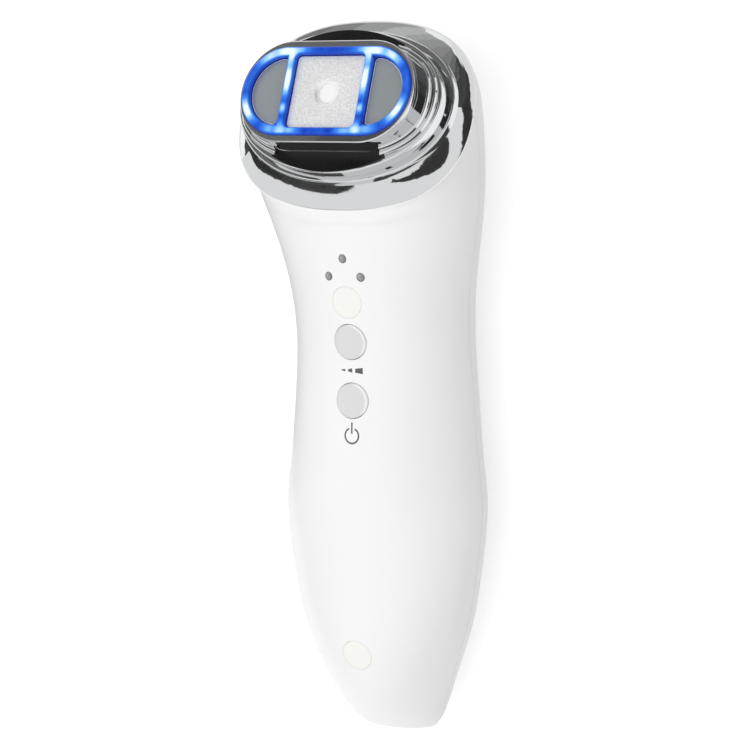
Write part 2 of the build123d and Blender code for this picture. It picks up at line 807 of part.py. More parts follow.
# Buttons with their retaining flange and stem, and the switches that spring them back
for name, y in button_spots.items():
    guide_bottom = front_height(y) - shell_wall - button_guide_drop
    flange_top = guide_bottom - running_gap
    stem_bottom = board_top + switch_height + switch_plunger_proud
    with BuildPart() as button:
        with BuildSketch(Plane.XY.offset(flange_top)):
            with Locations((0, y)):
                Circle(button_radius)
        extrude(amount=face_height - flange_top)
        add(body_outer.part.moved(Location((0, 0, button_proud))), mode=Mode.INTERSECT)
        top_edges = button.edges().filter_by(GeomType.CIRCLE, reverse=True).group_by(Axis.Z)[-1]
        fillet(top_edges, button_edge_radius)
        with BuildSketch(Plane.XY.offset(flange_top)):
            with Locations((0, y)):
                Circle(button_flange_radius)
        extrude(amount=-button_flange_thickness)
        with BuildSketch(Plane.XY.offset(flange_top - button_flange_thickness)):
            with Locations((0, y)):
                Circle(button_stem_radius)
        extrude(amount=stem_bottom - flange_top + button_flange_thickness)
    button.part.label = f"{name}_button"
    export_step(button.part, f"parts/{name}_button.step")
    with BuildPart() as switch:
        with BuildSketch(Plane.XY.offset(board_top)):
            with Locations((0, y)):
                Rectangle(switch_side, switch_side)
        extrude(amount=switch_height)
        with BuildSketch(Plane.XY.offset(board_top + switch_height)):
            with Locations((0, y)):
                Circle(switch_plunger_radius + running_gap)
        extrude(amount=-(switch_plunger_depth + button_travel + running_gap), mode=Mode.SUBTRACT)
    switch.part.label = f"{name}_switch"
    export_step(switch.part, f"parts/{name}_switch.step")
    with BuildPart() as plunger:
        with BuildSketch(Plane.XY.offset(stem_bottom)):
            with Locations((0, y)):
                Circle(switch_plunger_radius)
        extrude(amount=-(switch_plunger_proud + switch_plunger_depth))
    plunger.part.label = f"{name}_plunger"
    export_step(plunger.part, f"parts/{name}_plunger.step")

# Light pipe: three rods joined behind the front shell, and the indicator lights under them
light_bridge_top = front_height(pair_light_y) - light_bridge_drop
with BuildPart() as light_pipe:
    with BuildSketch(Plane.XY.offset(board_top + indicator_height + fit_gap)):
        with Locations(*light_spots):
            Circle(light_radius)
    extrude(amount=face_height - board_top)
    add(body_outer.part.moved(Location((0, 0, -light_set_in))), mode=Mode.INTERSECT)
    with BuildSketch(Plane.XY.offset(light_bridge_top)):
        with BuildLine():
            Polyline(*light_spots, close=True)
        make_face()
        offset(amount=light_radius)
    extrude(amount=-light_bridge_thickness)
light_pipe.part.label = "light_pipe"
export_step(light_pipe.part, "parts/light_pipe.step")

for number, spot in enumerate(light_spots, start=1):
    with BuildPart() as indicator:
        with BuildSketch(Plane.XY.offset(board_top)):
            with Locations(spot):
                Rectangle(indicator_side, indicator_side)
        extrude(amount=indicator_height)
    indicator.part.label = f"indicator_light_{number}"
    export_step(indicator.part, f"parts/indicator_light_{number}.step")

# Printed marks, filling their beds in the front shell
with BuildPart() as level_mark:
    extrude(level_bars(level_mark_plane), amount=shell_wall)
    add(body_outer.part, mode=Mode.INTERSECT)
level_mark.part.label = "level_mark"
export_step(level_mark.part, "parts/level_mark.step")

with BuildPart() as power_mark:
    extrude(power_symbol(power_mark_plane), amount=shell_wall)
    add(body_outer.part, mode=Mode.INTERSECT)
power_mark.part.label = "power_mark"
export_step(power_mark.part, "parts/power_mark.step")

# Round plugs and the case screws under them
for name, y in plug_spots.items():
    with BuildPart() as plug:
        with BuildSketch(front_plane(y, plug_radius, plug_thickness)):
            Circle(plug_radius)
        extrude(amount=3 * plug_thickness)
        add(body_outer.part, mode=Mode.INTERSECT)
    plug.part.label = f"{name}_plug"
    export_step(plug.part, f"parts/{name}_plug.step")
    with BuildPart() as case_screw:
        with BuildSketch(Plane.XY.offset(case_screw_seat)):
            with Locations((0, y)):
                Circle(case_screw_radius)
        extrude(amount=-case_screw_length)
        with BuildSketch(Plane.XY.offset(case_screw_seat)):
            with Locations((0, y)):
                Circle(case_screw_head_radius)
        extrude(amount=case_screw_head_height)
    case_screw.part.label = f"{name}_case_screw"
    export_step(case_screw.part, f"parts/{name}_case_screw.step")

# Battery cell with its tabs up to the board
with BuildPart() as battery_cell:
    with BuildSketch(Plane(origin=(0, cell_tail_y, cell_height), z_dir=(0, 1, 0))):
        Circle(cell_radius)
    extrude(amount=cell_length)
    with BuildSketch(Plane(origin=(0, cell_head_y, cell_height), z_dir=(0, 1, 0))):
        Circle(cell_cap_radius)
    extrude(amount=cell_cap_height)
battery_cell.part.label = "battery_cell"
export_step(battery_cell.part, "parts/battery_cell.step")

tab_bottom = cell_height - tab_width / 2
tab_starts = {
    "negative_tab": cell_tail_y - tab_thickness,
    "positive_tab": cell_head_y + cell_cap_height,
}
for name, y in tab_starts.items():
    with BuildPart() as tab:
        with BuildSketch(Plane.XY.offset(tab_bottom)):
            with Locations((0, y + tab_thickness / 2)):
                Rectangle(tab_width, tab_thickness)
        extrude(amount=board_height - tab_bottom)
    tab.part.label = name
    export_step(tab.part, f"parts/{name}.step")

# Inner frame: a trough for the cell, with walls that carry the main board
board_tail_y = tail_y + board_tail_gap
board_screws = [(frame_half_width - (frame_half_width - cell_radius) / 2, board_tail_y + board_screw_inset),
                (-frame_half_width + (frame_half_width - cell_radius) / 2, frame_head_y - board_screw_inset)]
with BuildPart() as inner_frame:
    with BuildSketch(Plane.XY.offset(frame_floor)):
        with Locations((0, frame_middle_y)):
            Rectangle(2 * frame_half_width, frame_length)
    extrude(amount=board_height - frame_floor)
    with BuildSketch(Plane(origin=(0, frame_tail_y, cell_height), z_dir=(0, 1, 0))):
        Circle(cell_radius + fit_gap + frame_wall)
    extrude(amount=frame_length)
    with BuildSketch(Plane(origin=(0, frame_tail_y + frame_wall, cell_height), z_dir=(0, 1, 0))):
        Circle(cell_radius + fit_gap)
    extrude(amount=frame_length - 2 * frame_wall, mode=Mode.SUBTRACT)
    with BuildSketch(Plane.XY.offset(cell_height)):
        with Locations((0, frame_middle_y)):
            Rectangle(2 * (cell_radius + fit_gap), frame_length - 2 * frame_wall)
    extrude(amount=board_height, mode=Mode.SUBTRACT)
    with BuildSketch(Plane.XY.offset(board_height)):
        with Locations(*board_screws):
            Circle(board_screw_radius + thread_gap)
    extrude(amount=board_thickness - board_screw_length - 0.5, mode=Mode.SUBTRACT)
inner_frame.part.label = "inner_frame"
export_step(inner_frame.part, "parts/inner_frame.step")

# Main board and the parts on it
board_length = board_head_y - board_tail_y
with BuildPart() as main_board:
    with BuildSketch(Plane.XY.offset(board_height)):
        with Locations((0, (board_head_y + board_tail_y) / 2)):
            RectangleRounded(2 * board_half_width, board_length, 2)
        with Locations((0, upper_plug_y)):
            Circle(screw_well_radius + screw_well_wall + 2 * fit_gap, mode=Mode.SUBTRACT)
        with Locations(*board_screws):
            Circle(board_screw_radius + fit_gap, mode=Mode.SUBTRACT)
    extrude(amount=board_thickness)
main_board.part.label = "main_board"
export_step(main_board.part, "parts/main_board.step")

for number, (x, y) in enumerate(board_screws, start=1):
    with BuildPart() as board_screw:
        with BuildSketch(Plane.XY.offset(board_top)):
            with Locations((x, y)):
                Circle(board_screw_radius)
        extrude(amount=-board_screw_length)
        with BuildSketch(Plane.XY.offset(board_top)):
            with Locations((x, y)):
                Circle(board_screw_head_radius)
        extrude(amount=board_screw_head_height)
    board_screw.part.label = f"board_screw_{number}"
    export_step(board_screw.part, f"parts/board_screw_{number}.step")

with BuildPart() as controller_chip:
    with BuildSketch(Plane.XY.offset(board_top)):
        with Locations((0, board_tail_y + controller_from_end)):
            Rectangle(controller_size[1], controller_size[0])
    extrude(amount=controller_size[2])
controller_chip.part.label = "controller_chip"
export_step(controller_chip.part, "parts/controller_chip.step")

with BuildPart() as drive_transformer:
    with BuildSketch(Plane.XY.offset(board_top)):
        with Locations((0, board_tail_y + transformer_from_end)):
            RectangleRounded(transformer_size[1], transformer_size[0], 1)
    extrude(amount=transformer_size[2])
drive_transformer.part.label = "drive_transformer"
export_step(drive_transformer.part, "parts/drive_transformer.step")

with BuildPart() as drive_coil:
    with BuildSketch(Plane.XY.offset(board_top)):
        with Locations((0, board_tail_y + inductor_from_end)):
            Circle(inductor_radius)
    extrude(amount=inductor_height)
drive_coil.part.label = "drive_coil"
export_step(drive_coil.part, "parts/drive_coil.step")

# Charging inlet in the tail: a nose through the shells, a bored body and a centre pin on its own board
jack_plane = Plane(origin=(0, tail_y, jack_height), z_dir=(0, 1, 0))
jack_length = jack_nose_length + jack_body_length
with BuildPart() as charge_jack:
    with BuildSketch(jack_plane):
        Circle(jack_nose_radius)
    extrude(amount=jack_nose_length)
    with BuildSketch(jack_plane.offset(jack_nose_length)):
        Rectangle(jack_body_side, jack_body_side)
    extrude(amount=jack_body_length)
    with BuildSketch(jack_plane):
        Circle(jack_bore_radius)
    extrude(amount=jack_bore_length, mode=Mode.SUBTRACT)
    with BuildSketch(jack_plane.offset(jack_bore_length)):
        Circle(jack_sleeve_radius)
    extrude(amount=jack_sleeve_length, mode=Mode.SUBTRACT)
    with BuildSketch(jack_plane.offset(jack_bore_length + jack_sleeve_length)):
        Circle(jack_pin_radius + thread_gap)
    extrude(amount=jack_length, mode=Mode.SUBTRACT)
charge_jack.part.label = "charge_jack"
export_step(charge_jack.part, "parts/charge_jack.step")

with BuildPart() as charge_pin:
    with BuildSketch(jack_plane.offset(jack_bore_length + 0.5)):
        Circle(jack_pin_radius)
    extrude(amount=jack_length - jack_bore_length - 0.5)
charge_pin.part.label = "charge_pin"
export_step(charge_pin.part, "parts/charge_pin.step")

charge_board_top = jack_height - jack_body_side / 2
charge_board_tail_y = tail_y + jack_nose_length + charge_board_set_back
with BuildPart() as charge_board:
    with BuildSketch(Plane.XY.offset(charge_board_top)):
        with Locations((0, charge_board_tail_y + charge_board_length / 2)):
            Rectangle(2 * charge_board_half_width, charge_board_length)
    extrude(amount=-charge_board_thickness)
charge_board.part.label = "charge_board"
export_step(charge_board.part, "parts/charge_board.step")

lead_start_y = charge_board_tail_y + charge_board_length - 3
lead_height = charge_board_top + charge_lead_radius
lead_board_height = board_top + charge_lead_radius
for number, side in enumerate((-1, 1), start=1):
    x = side * charge_lead_x
    with BuildPart() as charge_lead:
        with BuildLine() as lead_path:
            FilletPolyline(
                (x, lead_start_y, lead_height),
                (x, lead_start_y + 7, lead_height),
                (x, board_tail_y - 8, lead_board_height),
                (x, board_tail_y + 4, lead_board_height),
                radius=charge_lead_bend,
            )
        with BuildSketch(Plane(origin=(x, lead_start_y, lead_height), z_dir=(0, 1, 0))):
            Circle(charge_lead_radius)
        sweep(path=lead_path.wires()[0])
    charge_lead.part.label = f"charge_lead_{number}"
    export_step(charge_lead.part, f"parts/charge_lead_{number}.step")
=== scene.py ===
from math import cos, radians, sin

import bpy
from bpy.props import FloatProperty, FloatVectorProperty, PointerProperty
from mathutils import Matrix, Vector


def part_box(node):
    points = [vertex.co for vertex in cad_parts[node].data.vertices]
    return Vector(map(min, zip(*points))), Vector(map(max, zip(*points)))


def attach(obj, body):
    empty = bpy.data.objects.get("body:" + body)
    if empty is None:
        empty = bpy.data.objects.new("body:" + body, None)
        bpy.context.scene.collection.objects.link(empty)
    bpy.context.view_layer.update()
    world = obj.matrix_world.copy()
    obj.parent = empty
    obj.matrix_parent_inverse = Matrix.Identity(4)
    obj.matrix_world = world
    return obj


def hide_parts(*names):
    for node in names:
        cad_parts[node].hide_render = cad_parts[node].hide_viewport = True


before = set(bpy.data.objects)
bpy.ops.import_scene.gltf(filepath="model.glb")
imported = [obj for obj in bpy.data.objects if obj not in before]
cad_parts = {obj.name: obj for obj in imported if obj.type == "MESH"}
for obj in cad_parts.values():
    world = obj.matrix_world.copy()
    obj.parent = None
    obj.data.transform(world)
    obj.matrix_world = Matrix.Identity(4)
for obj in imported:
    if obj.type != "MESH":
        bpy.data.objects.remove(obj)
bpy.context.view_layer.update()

bl_info = {
    "name": "Ultrasonic Facial Device",
    "version": (1, 0, 0),
    "blender": (4, 5, 0),
    "location": "3D Viewport > Sidebar > Facial Device",
    "description": "Dresses a hand-held ultrasonic facial device with its finishes, fine pieces and stage",
    "category": "Mesh",
}

HOUSING = "housing"
MM_PER_M = 1000


def linear(hex_colour):
    """An sRGB hex colour as linear red, green and blue"""
    channels = [int(hex_colour[i:i + 2], 16) / 255 for i in (1, 3, 5)]
    return tuple(c / 12.92 if c <= 0.04045 else ((c + 0.055) / 1.055) ** 2.4 for c in channels)


def box_middle(name):
    low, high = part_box(name)
    return (low + high) / 2


def box_size(name):
    low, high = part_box(name)
    return high - low


class FaceSizes(bpy.types.PropertyGroup):
    """Sizes of the working face at the head"""

    pitch: FloatProperty(
        name="Face Pitch",
        description="Angle by which the face leans towards the tip of the head",
        default=radians(22.0), subtype="ANGLE", unit="ROTATION",
    )
    plate_depth: FloatProperty(
        name="Plate Depth",
        description="Depth of the plate's surface behind the plane of the face",
        default=0.0004, subtype="DISTANCE", unit="LENGTH",
    )
    plate_thickness: FloatProperty(
        name="Plate Thickness",
        description="Thickness of the plate and the electrodes",
        default=0.0012, subtype="DISTANCE", unit="LENGTH",
    )
    plate_width: FloatProperty(
        name="Plate Width",
        description="Width of the transducer plate, across the face",
        default=0.0194, subtype="DISTANCE", unit="LENGTH",
    )
    plate_height: FloatProperty(
        name="Plate Height",
        description="Height of the transducer plate, up the face",
        default=0.0188, subtype="DISTANCE", unit="LENGTH",
    )
    plate_corner: FloatProperty(
        name="Plate Corner",
        description="Corner radius of the transducer plate",
        default=0.0012, subtype="DISTANCE", unit="LENGTH",
    )
    electrode_edge: FloatProperty(
        name="Electrode Edge",
        description="Distance of the electrodes' straight edges from the middle of the face",
        default=0.0122, subtype="DISTANCE", unit="LENGTH",
    )
    electrode_centre: FloatProperty(
        name="Electrode Centre",
        description="Distance of the middles of the electrodes' round edges from the middle of the face",
        default=0.0126, subtype="DISTANCE", unit="LENGTH",
    )
    electrode_radius: FloatProperty(
        name="Electrode Radius",
        description="Radius of the half-disc electrodes",
        default=0.0088, subtype="DISTANCE", unit="LENGTH",
    )
    guide_half_width: FloatProperty(
        name="Light Guide Half Width",
        description="Half the width of the light guide",
        default=box_size("light_guide").x / 2, subtype="DISTANCE", unit="LENGTH",
    )
    guide_half_height: FloatProperty(
        name="Light Guide Half Height",
        description="Half the height of the light guide, which is also the radius of its round ends",
        default=0.0115, subtype="DISTANCE", unit="LENGTH",
    )
    fit_gap: FloatProperty(
        name="Fit Gap",
        description="Gap between the light guide and what it frames",
        default=0.00015, subtype="DISTANCE", unit="LENGTH",
    )
    emitter_radius: FloatProperty(
        name="Emitter Radius",
        description="Radius of the round emitter at the bottom of the plate's well",
        default=0.00255, subtype="DISTANCE", unit="LENGTH",
    )
    emitter_thickness: FloatProperty(
        name="Emitter Thickness",
        description="Thickness of the emitter disc behind the plate",
        default=0.0005, subtype="DISTANCE", unit="LENGTH",
    )
    well_radius: FloatProperty(
        name="Well Radius",
        description="Radius of the well in the plate, at its rim",
        default=0.00335, subtype="DISTANCE", unit="LENGTH",
    )
    light_spacing: FloatProperty(
        name="Light Spacing",
        description="Distance of the lower level lights from the middle line",
        default=0.0046, subtype="DISTANCE", unit="LENGTH",
    )
    edge_round: FloatProperty(
        name="Metal Edge Rounding",
        description="Width of the rounding along the edges of the plate and the electrodes",
        default=0.0003, subtype="DISTANCE", unit="LENGTH",
    )


class FinishColours(bpy.types.PropertyGroup):
    """Colours of the visible finishes"""

    shell: FloatVectorProperty(
        name="Shell White", description="Gloss white of the two shells",
        default=linear("#F3F3F3"), subtype="COLOR", min=0, max=1,
    )
    chrome: FloatVectorProperty(
        name="Chrome", description="Chrome plate of the head collar",
        default=linear("#D5D6D7"), subtype="COLOR", min=0, max=1,
    )
    insert: FloatVectorProperty(
        name="Insert Black", description="Near-black inserts in the collar",
        default=linear("#080809"), subtype="COLOR", min=0, max=1,
    )
    glow_rim: FloatVectorProperty(
        name="Glow Rim", description="Navy of the light guide along its edges",
        default=linear("#0A1C66"), subtype="COLOR", min=0, max=1,
    )
    glow_deep: FloatVectorProperty(
        name="Glow Deep", description="Blue of the light guide between its lamps",
        default=linear("#0538AA"), subtype="COLOR", min=0, max=1,
    )
    glow_middle: FloatVectorProperty(
        name="Glow Middle", description="Blue of the light guide near its lamps",
        default=linear("#3A85EC"), subtype="COLOR", min=0, max=1,
    )
    glow_pale: FloatVectorProperty(
        name="Glow Pale", description="Pale blue of the light guide close to its lamps",
        default=linear("#8CCBF7"), subtype="COLOR", min=0, max=1,
    )
    glow_bright: FloatVectorProperty(
        name="Glow Bright", description="Pale cyan of the light guide over its lamps",
        default=linear("#F2FFFF"), subtype="COLOR", min=0, max=1,
    )
    plate: FloatVectorProperty(
        name="Plate Grey", description="Blasted metal of the transducer plate",
        default=linear("#FAFAF9"), subtype="COLOR", min=0, max=1,
    )
    # The emitter's white is a painted reflection of the white room; the turned well and the painted highlight
    # on the electrodes' edges share it
    emitter: FloatVectorProperty(
        name="Emitter White", description="Polished face of the emitter",
        default=linear("#FAFAFA"), subtype="COLOR", min=0, max=1,
    )
    electrode: FloatVectorProperty(
        name="Electrode Grey", description="Satin metal of the electrodes",
        default=linear("#9DA3A5"), subtype="COLOR", min=0, max=1,
    )
    button: FloatVectorProperty(
        name="Button Grey", description="Satin grey of the buttons",
        default=linear("#DADADA"), subtype="COLOR", min=0, max=1,
    )
    plug: FloatVectorProperty(
        name="Plug Cream", description="Warm white of the screw plugs",
        default=linear("#F3F3EE"), subtype="COLOR", min=0, max=1,
    )
    ink: FloatVectorProperty(
        name="Mark Ink", description="Grey ink of the printed marks",
        default=linear("#5A5A5C"), subtype="COLOR", min=0, max=1,
    )
    lens: FloatVectorProperty(
        name="Light Lens", description="Smoke grey of the unlit level lights",
        default=linear("#8A8A8C"), subtype="COLOR", min=0, max=1,
    )


class StageSettings(bpy.types.PropertyGroup):
    """Floor, lamps and camera"""

    floor_radius: FloatProperty(
        name="Floor Radius", description="Radius of the pale floor disc",
        default=1.6, subtype="DISTANCE", unit="LENGTH",
    )
    key_power: FloatProperty(
        name="Key Power", description="Power of the large lamp over the device's left",
        default=2.8, min=0, subtype="POWER", unit="POWER",
    )
    fill_power: FloatProperty(
        name="Fill Power", description="Power of the large lamp over the device's right",
        default=3.5, min=0, subtype="POWER", unit="POWER",
    )
    world_level: FloatProperty(
        name="Surroundings", description="Brightness of the pale surroundings as they light the object",
        default=0.675, min=0, max=2, subtype="FACTOR",
    )
    far_level: FloatProperty(
        name="Far Side", description="Brightness of the surroundings low on the device's right",
        default=0.05, min=0, max=2, subtype="FACTOR",
    )
    flag_distance: FloatProperty(
        name="Flag Distance", description="Distance of the flags from the head",
        default=0.4, subtype="DISTANCE", unit="LENGTH",
    )
    camera_place: FloatVectorProperty(
        name="Camera Place", description="Where the camera stands",
        default=(0.30034, 0.08687, 0.55918), subtype="TRANSLATION", unit="LENGTH",
    )
    camera_turn: FloatVectorProperty(
        name="Camera Turn", description="How the camera is turned",
        default=(-0.14522, 0.50952, -0.01601), subtype="EULER", unit="ROTATION",
    )
    camera_lens: FloatProperty(
        name="Camera Lens", description="Focal length on a 36 mm wide sensor",
        default=115.2, subtype="DISTANCE_CAMERA", unit="CAMERA",
    )


def face_matrix(sizes):
    """From the face's own axes (across, up the face, out of it) to the device's, in metres"""
    turn = Matrix.Rotation(-sizes.pitch, 4, "X")
    out = Vector((0, sin(sizes.pitch), cos(sizes.pitch)))
    middle = box_middle("transducer_plate") + out * (sizes.plate_depth + sizes.plate_thickness / 2)
    return Matrix.Translation(middle) @ turn


def node(tree, kind, inputs=None, **settings):
    """Adds a node to a tree, sets it up, and sets or links its inputs"""
    made = tree.nodes.new(kind)
    for name, value in settings.items():
        setattr(made, name, value)
    for name, value in (inputs or {}).items():
        if isinstance(value, bpy.types.NodeSocket):
            tree.links.new(value, made.inputs[name])
        else:
            made.inputs[name].default_value = value
    return made


def blank_material(name):
    material = bpy.data.materials.new(name)
    material.use_nodes = True
    material.node_tree.nodes.clear()
    return material


def rgba(colour, level=1.0):
    return tuple(min(1.0, c * level) for c in colour) + (1.0,)


def fine_finish(name, colour, roughness, metallic=0.0, ior=1.5, coat=0.0, grain=0.0006, tint=0.05,
                spread=0.05, relief=0.0, detail=3.0):
    """A finish whose colour and relief vary over grains of a real size, in metres"""
    material = blank_material(name)
    tree = material.node_tree
    place = node(tree, "ShaderNodeTexCoord").outputs["Object"]
    grains = node(tree, "ShaderNodeTexNoise", {"Vector": place, "Scale": 1 / grain, "Detail": detail})
    # Gloss varies more slowly, over patches of five grains
    patches = node(tree, "ShaderNodeTexNoise", {"Vector": place, "Scale": 0.2 / grain, "Detail": 2.0})
    shade = node(tree, "ShaderNodeMixRGB", {
        "Fac": grains.outputs["Fac"],
        "Color1": rgba(colour, 1 - tint),
        "Color2": rgba(colour, 1 + tint),
    })
    gloss = node(tree, "ShaderNodeMapRange", {
        "Value": patches.outputs["Fac"],
        "From Min": 0.3,
        "From Max": 0.7,
        "To Min": max(0.01, roughness - spread),
        "To Max": roughness + spread,
    })
    shader = node(tree, "ShaderNodeBsdfPrincipled", {
        "Base Color": shade.outputs["Color"],
        "Roughness": gloss.outputs["Result"],
        "Metallic": metallic,
        "IOR": ior,
        "Coat Weight": coat,
        "Coat Roughness": 0.05,
    })
    if relief:
        bump = node(tree, "ShaderNodeBump", {"Distance": relief, "Height": grains.outputs["Fac"]})
        tree.links.new(bump.outputs["Normal"], shader.inputs["Normal"])
    node(tree, "ShaderNodeOutputMaterial", {"Surface": shader.outputs["BSDF"]})
    return material


def grained_colour(material):
    """The shader of a fine finish, and the grained colour that it shows"""
    shader = next(made for made in material.node_tree.nodes if made.type == "BSDF_PRINCIPLED")
    return shader, shader.inputs["Base Color"].links[0].from_socket


def dress(names, material):
    """Gives CAD nodes a material"""
    for name in names:
        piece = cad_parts[name]
        piece.data.materials.clear()
        piece.data.materials.append(material)


def deselect():
    if bpy.context.object and bpy.context.object.mode != "OBJECT":
        bpy.ops.object.mode_set(mode="OBJECT")
    bpy.ops.object.select_all(action="DESELECT")


def make_active(piece):
    deselect()
    piece.select_set(True)
    bpy.context.view_layer.objects.active = piece


def select_faces(piece, wanted):
    """Leaves edit mode, selects the faces that a test picks, and goes back to edit mode"""
    bpy.ops.object.mode_set(mode="EDIT")
    bpy.ops.mesh.select_mode(type="FACE")
    bpy.ops.mesh.select_all(action="DESELECT")
    bpy.ops.object.mode_set(mode="OBJECT")
    for face in piece.data.polygons:
        face.select = wanted(face)
    bpy.ops.object.mode_set(mode="EDIT")


def settle(piece, name, body, slot, material, *nodes):
    """Names a finished piece, puts its place in its mesh, gives it its material and body, and hides the CAD
    nodes that it stands in for
    """
    make_active(piece)
    bpy.ops.object.transform_apply(location=True, rotation=True, scale=True)
    piece.name = name
    piece.data.name = name
    piece.data.materials.clear()
    piece.data.materials.append(material)
    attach(piece, body)
    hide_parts(*nodes)


def soft_edged_copy(node_name, width):
    """A merged copy of a CAD node with its sharp edges rounded"""
    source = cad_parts[node_name]
    piece = bpy.data.objects.new(node_name + "_soft", source.data.copy())
    bpy.context.scene.collection.objects.link(piece)
    make_active(piece)
    bpy.ops.mesh.customdata_custom_splitnormals_clear()
    bpy.ops.object.mode_set(mode="EDIT")
    bpy.ops.mesh.select_all(action="SELECT")
    bpy.ops.mesh.remove_doubles(threshold=0.000002)
    bpy.ops.mesh.dissolve_limited(angle_limit=radians(0.5))
    bpy.ops.object.mode_set(mode="OBJECT")
    bevel = piece.modifiers.new("edge", "BEVEL")
    bevel.width = width
    bevel.segments = 3
    bevel.limit_method = "ANGLE"
    bevel.angle_limit = radians(50)
    bpy.ops.object.modifier_apply(modifier=bevel.name)
    bpy.ops.object.shade_smooth_by_angle(angle=radians(35))
    return piece


class DressShells(bpy.types.Operator):
    """Gives the front and rear shells their mould-polished gloss white"""

    bl_idname = "facial_device.dress_shells"
    bl_label = "White Shells"

    def execute(self, context):
        colours = context.scene.facial_device_colours
        # ABS moulded in a polished tool: an even white with a soft gloss and a faint, slow waviness
        white = fine_finish("Gloss white ABS, mould-polished", colours.shell, 0.38, ior=1.53, coat=0.1,
                            grain=0.006, tint=0.004, spread=0.03, relief=0.000004, detail=1.0)
        dress(["front_shell", "rear_shell"], white)
        return {"FINISHED"}


class DressCollar(bpy.types.Operator):
    """Gives the stepped head collar its bright chrome"""

    bl_idname = "facial_device.dress_collar"
    bl_label = "Chrome Collar"

    def execute(self, context):
        colours = context.scene.facial_device_colours
        # Chrome plate over polished moulded plastic: a mirror with a trace of haze
        chrome = fine_finish("Bright chrome plate on moulded ABS", colours.chrome, 0.035, metallic=1.0,
                             grain=0.004, tint=0.01, spread=0.015, detail=2.0)
        dress(["head_collar"], chrome)
        return {"FINISHED"}


class DressInserts(bpy.types.Operator):
    """Gives the crescent inserts of the collar their piano black"""

    bl_idname = "facial_device.dress_inserts"
    bl_label = "Black Inserts"

    def execute(self, context):
        colours = context.scene.facial_device_colours
        # Black ABS moulded in a polished tool: near black, with a soft sheen
        black = fine_finish("Piano black ABS, moulded", colours.insert, 0.3, ior=1.4, grain=0.002, tint=0.1,
                            spread=0.05)
        dress(["upper_inlay", "lower_inlay"], black)
        return {"FINISHED"}


# Bright spots of the light guide in the face's own axes, in millimetres: across (both sides), up,
# reach and strength; each fades out a little past its reach, and neighbours run into each other
GLOW_SPOTS = [
    (12.2, 10.2, 7.4, 0.85),
    (17.0, 9.2, 6.0, 0.74),
    (10.95, 5.8, 4.2, 0.5),
    (10.95, 2.9, 6.0, 0.97),
    (10.95, -4.7, 2.1, 0.66),
    (10.6, -10.5, 3.6, 0.74),
    (8.0, -10.5, 4.4, 0.55),
    (13.5, -10.0, 4.0, 0.52),
    (21.3, -5.2, 5.4, 0.88),
    (22.4, 2.5, 6.0, 0.22),
]
SPOT_FADE = 1.25
SPOT_BLEND = 0.12

# Where the glow sets in, in millimetres: first and last place of the change, inwards from the guide's
# edges for the navy rim and for the brightness, and out of the face for its walls
RIM_CHANGE = (-0.25, 0.2)
CROWN_CHANGE = (-0.05, 0.65)
WALL_CHANGE = (-0.55, 0.15)


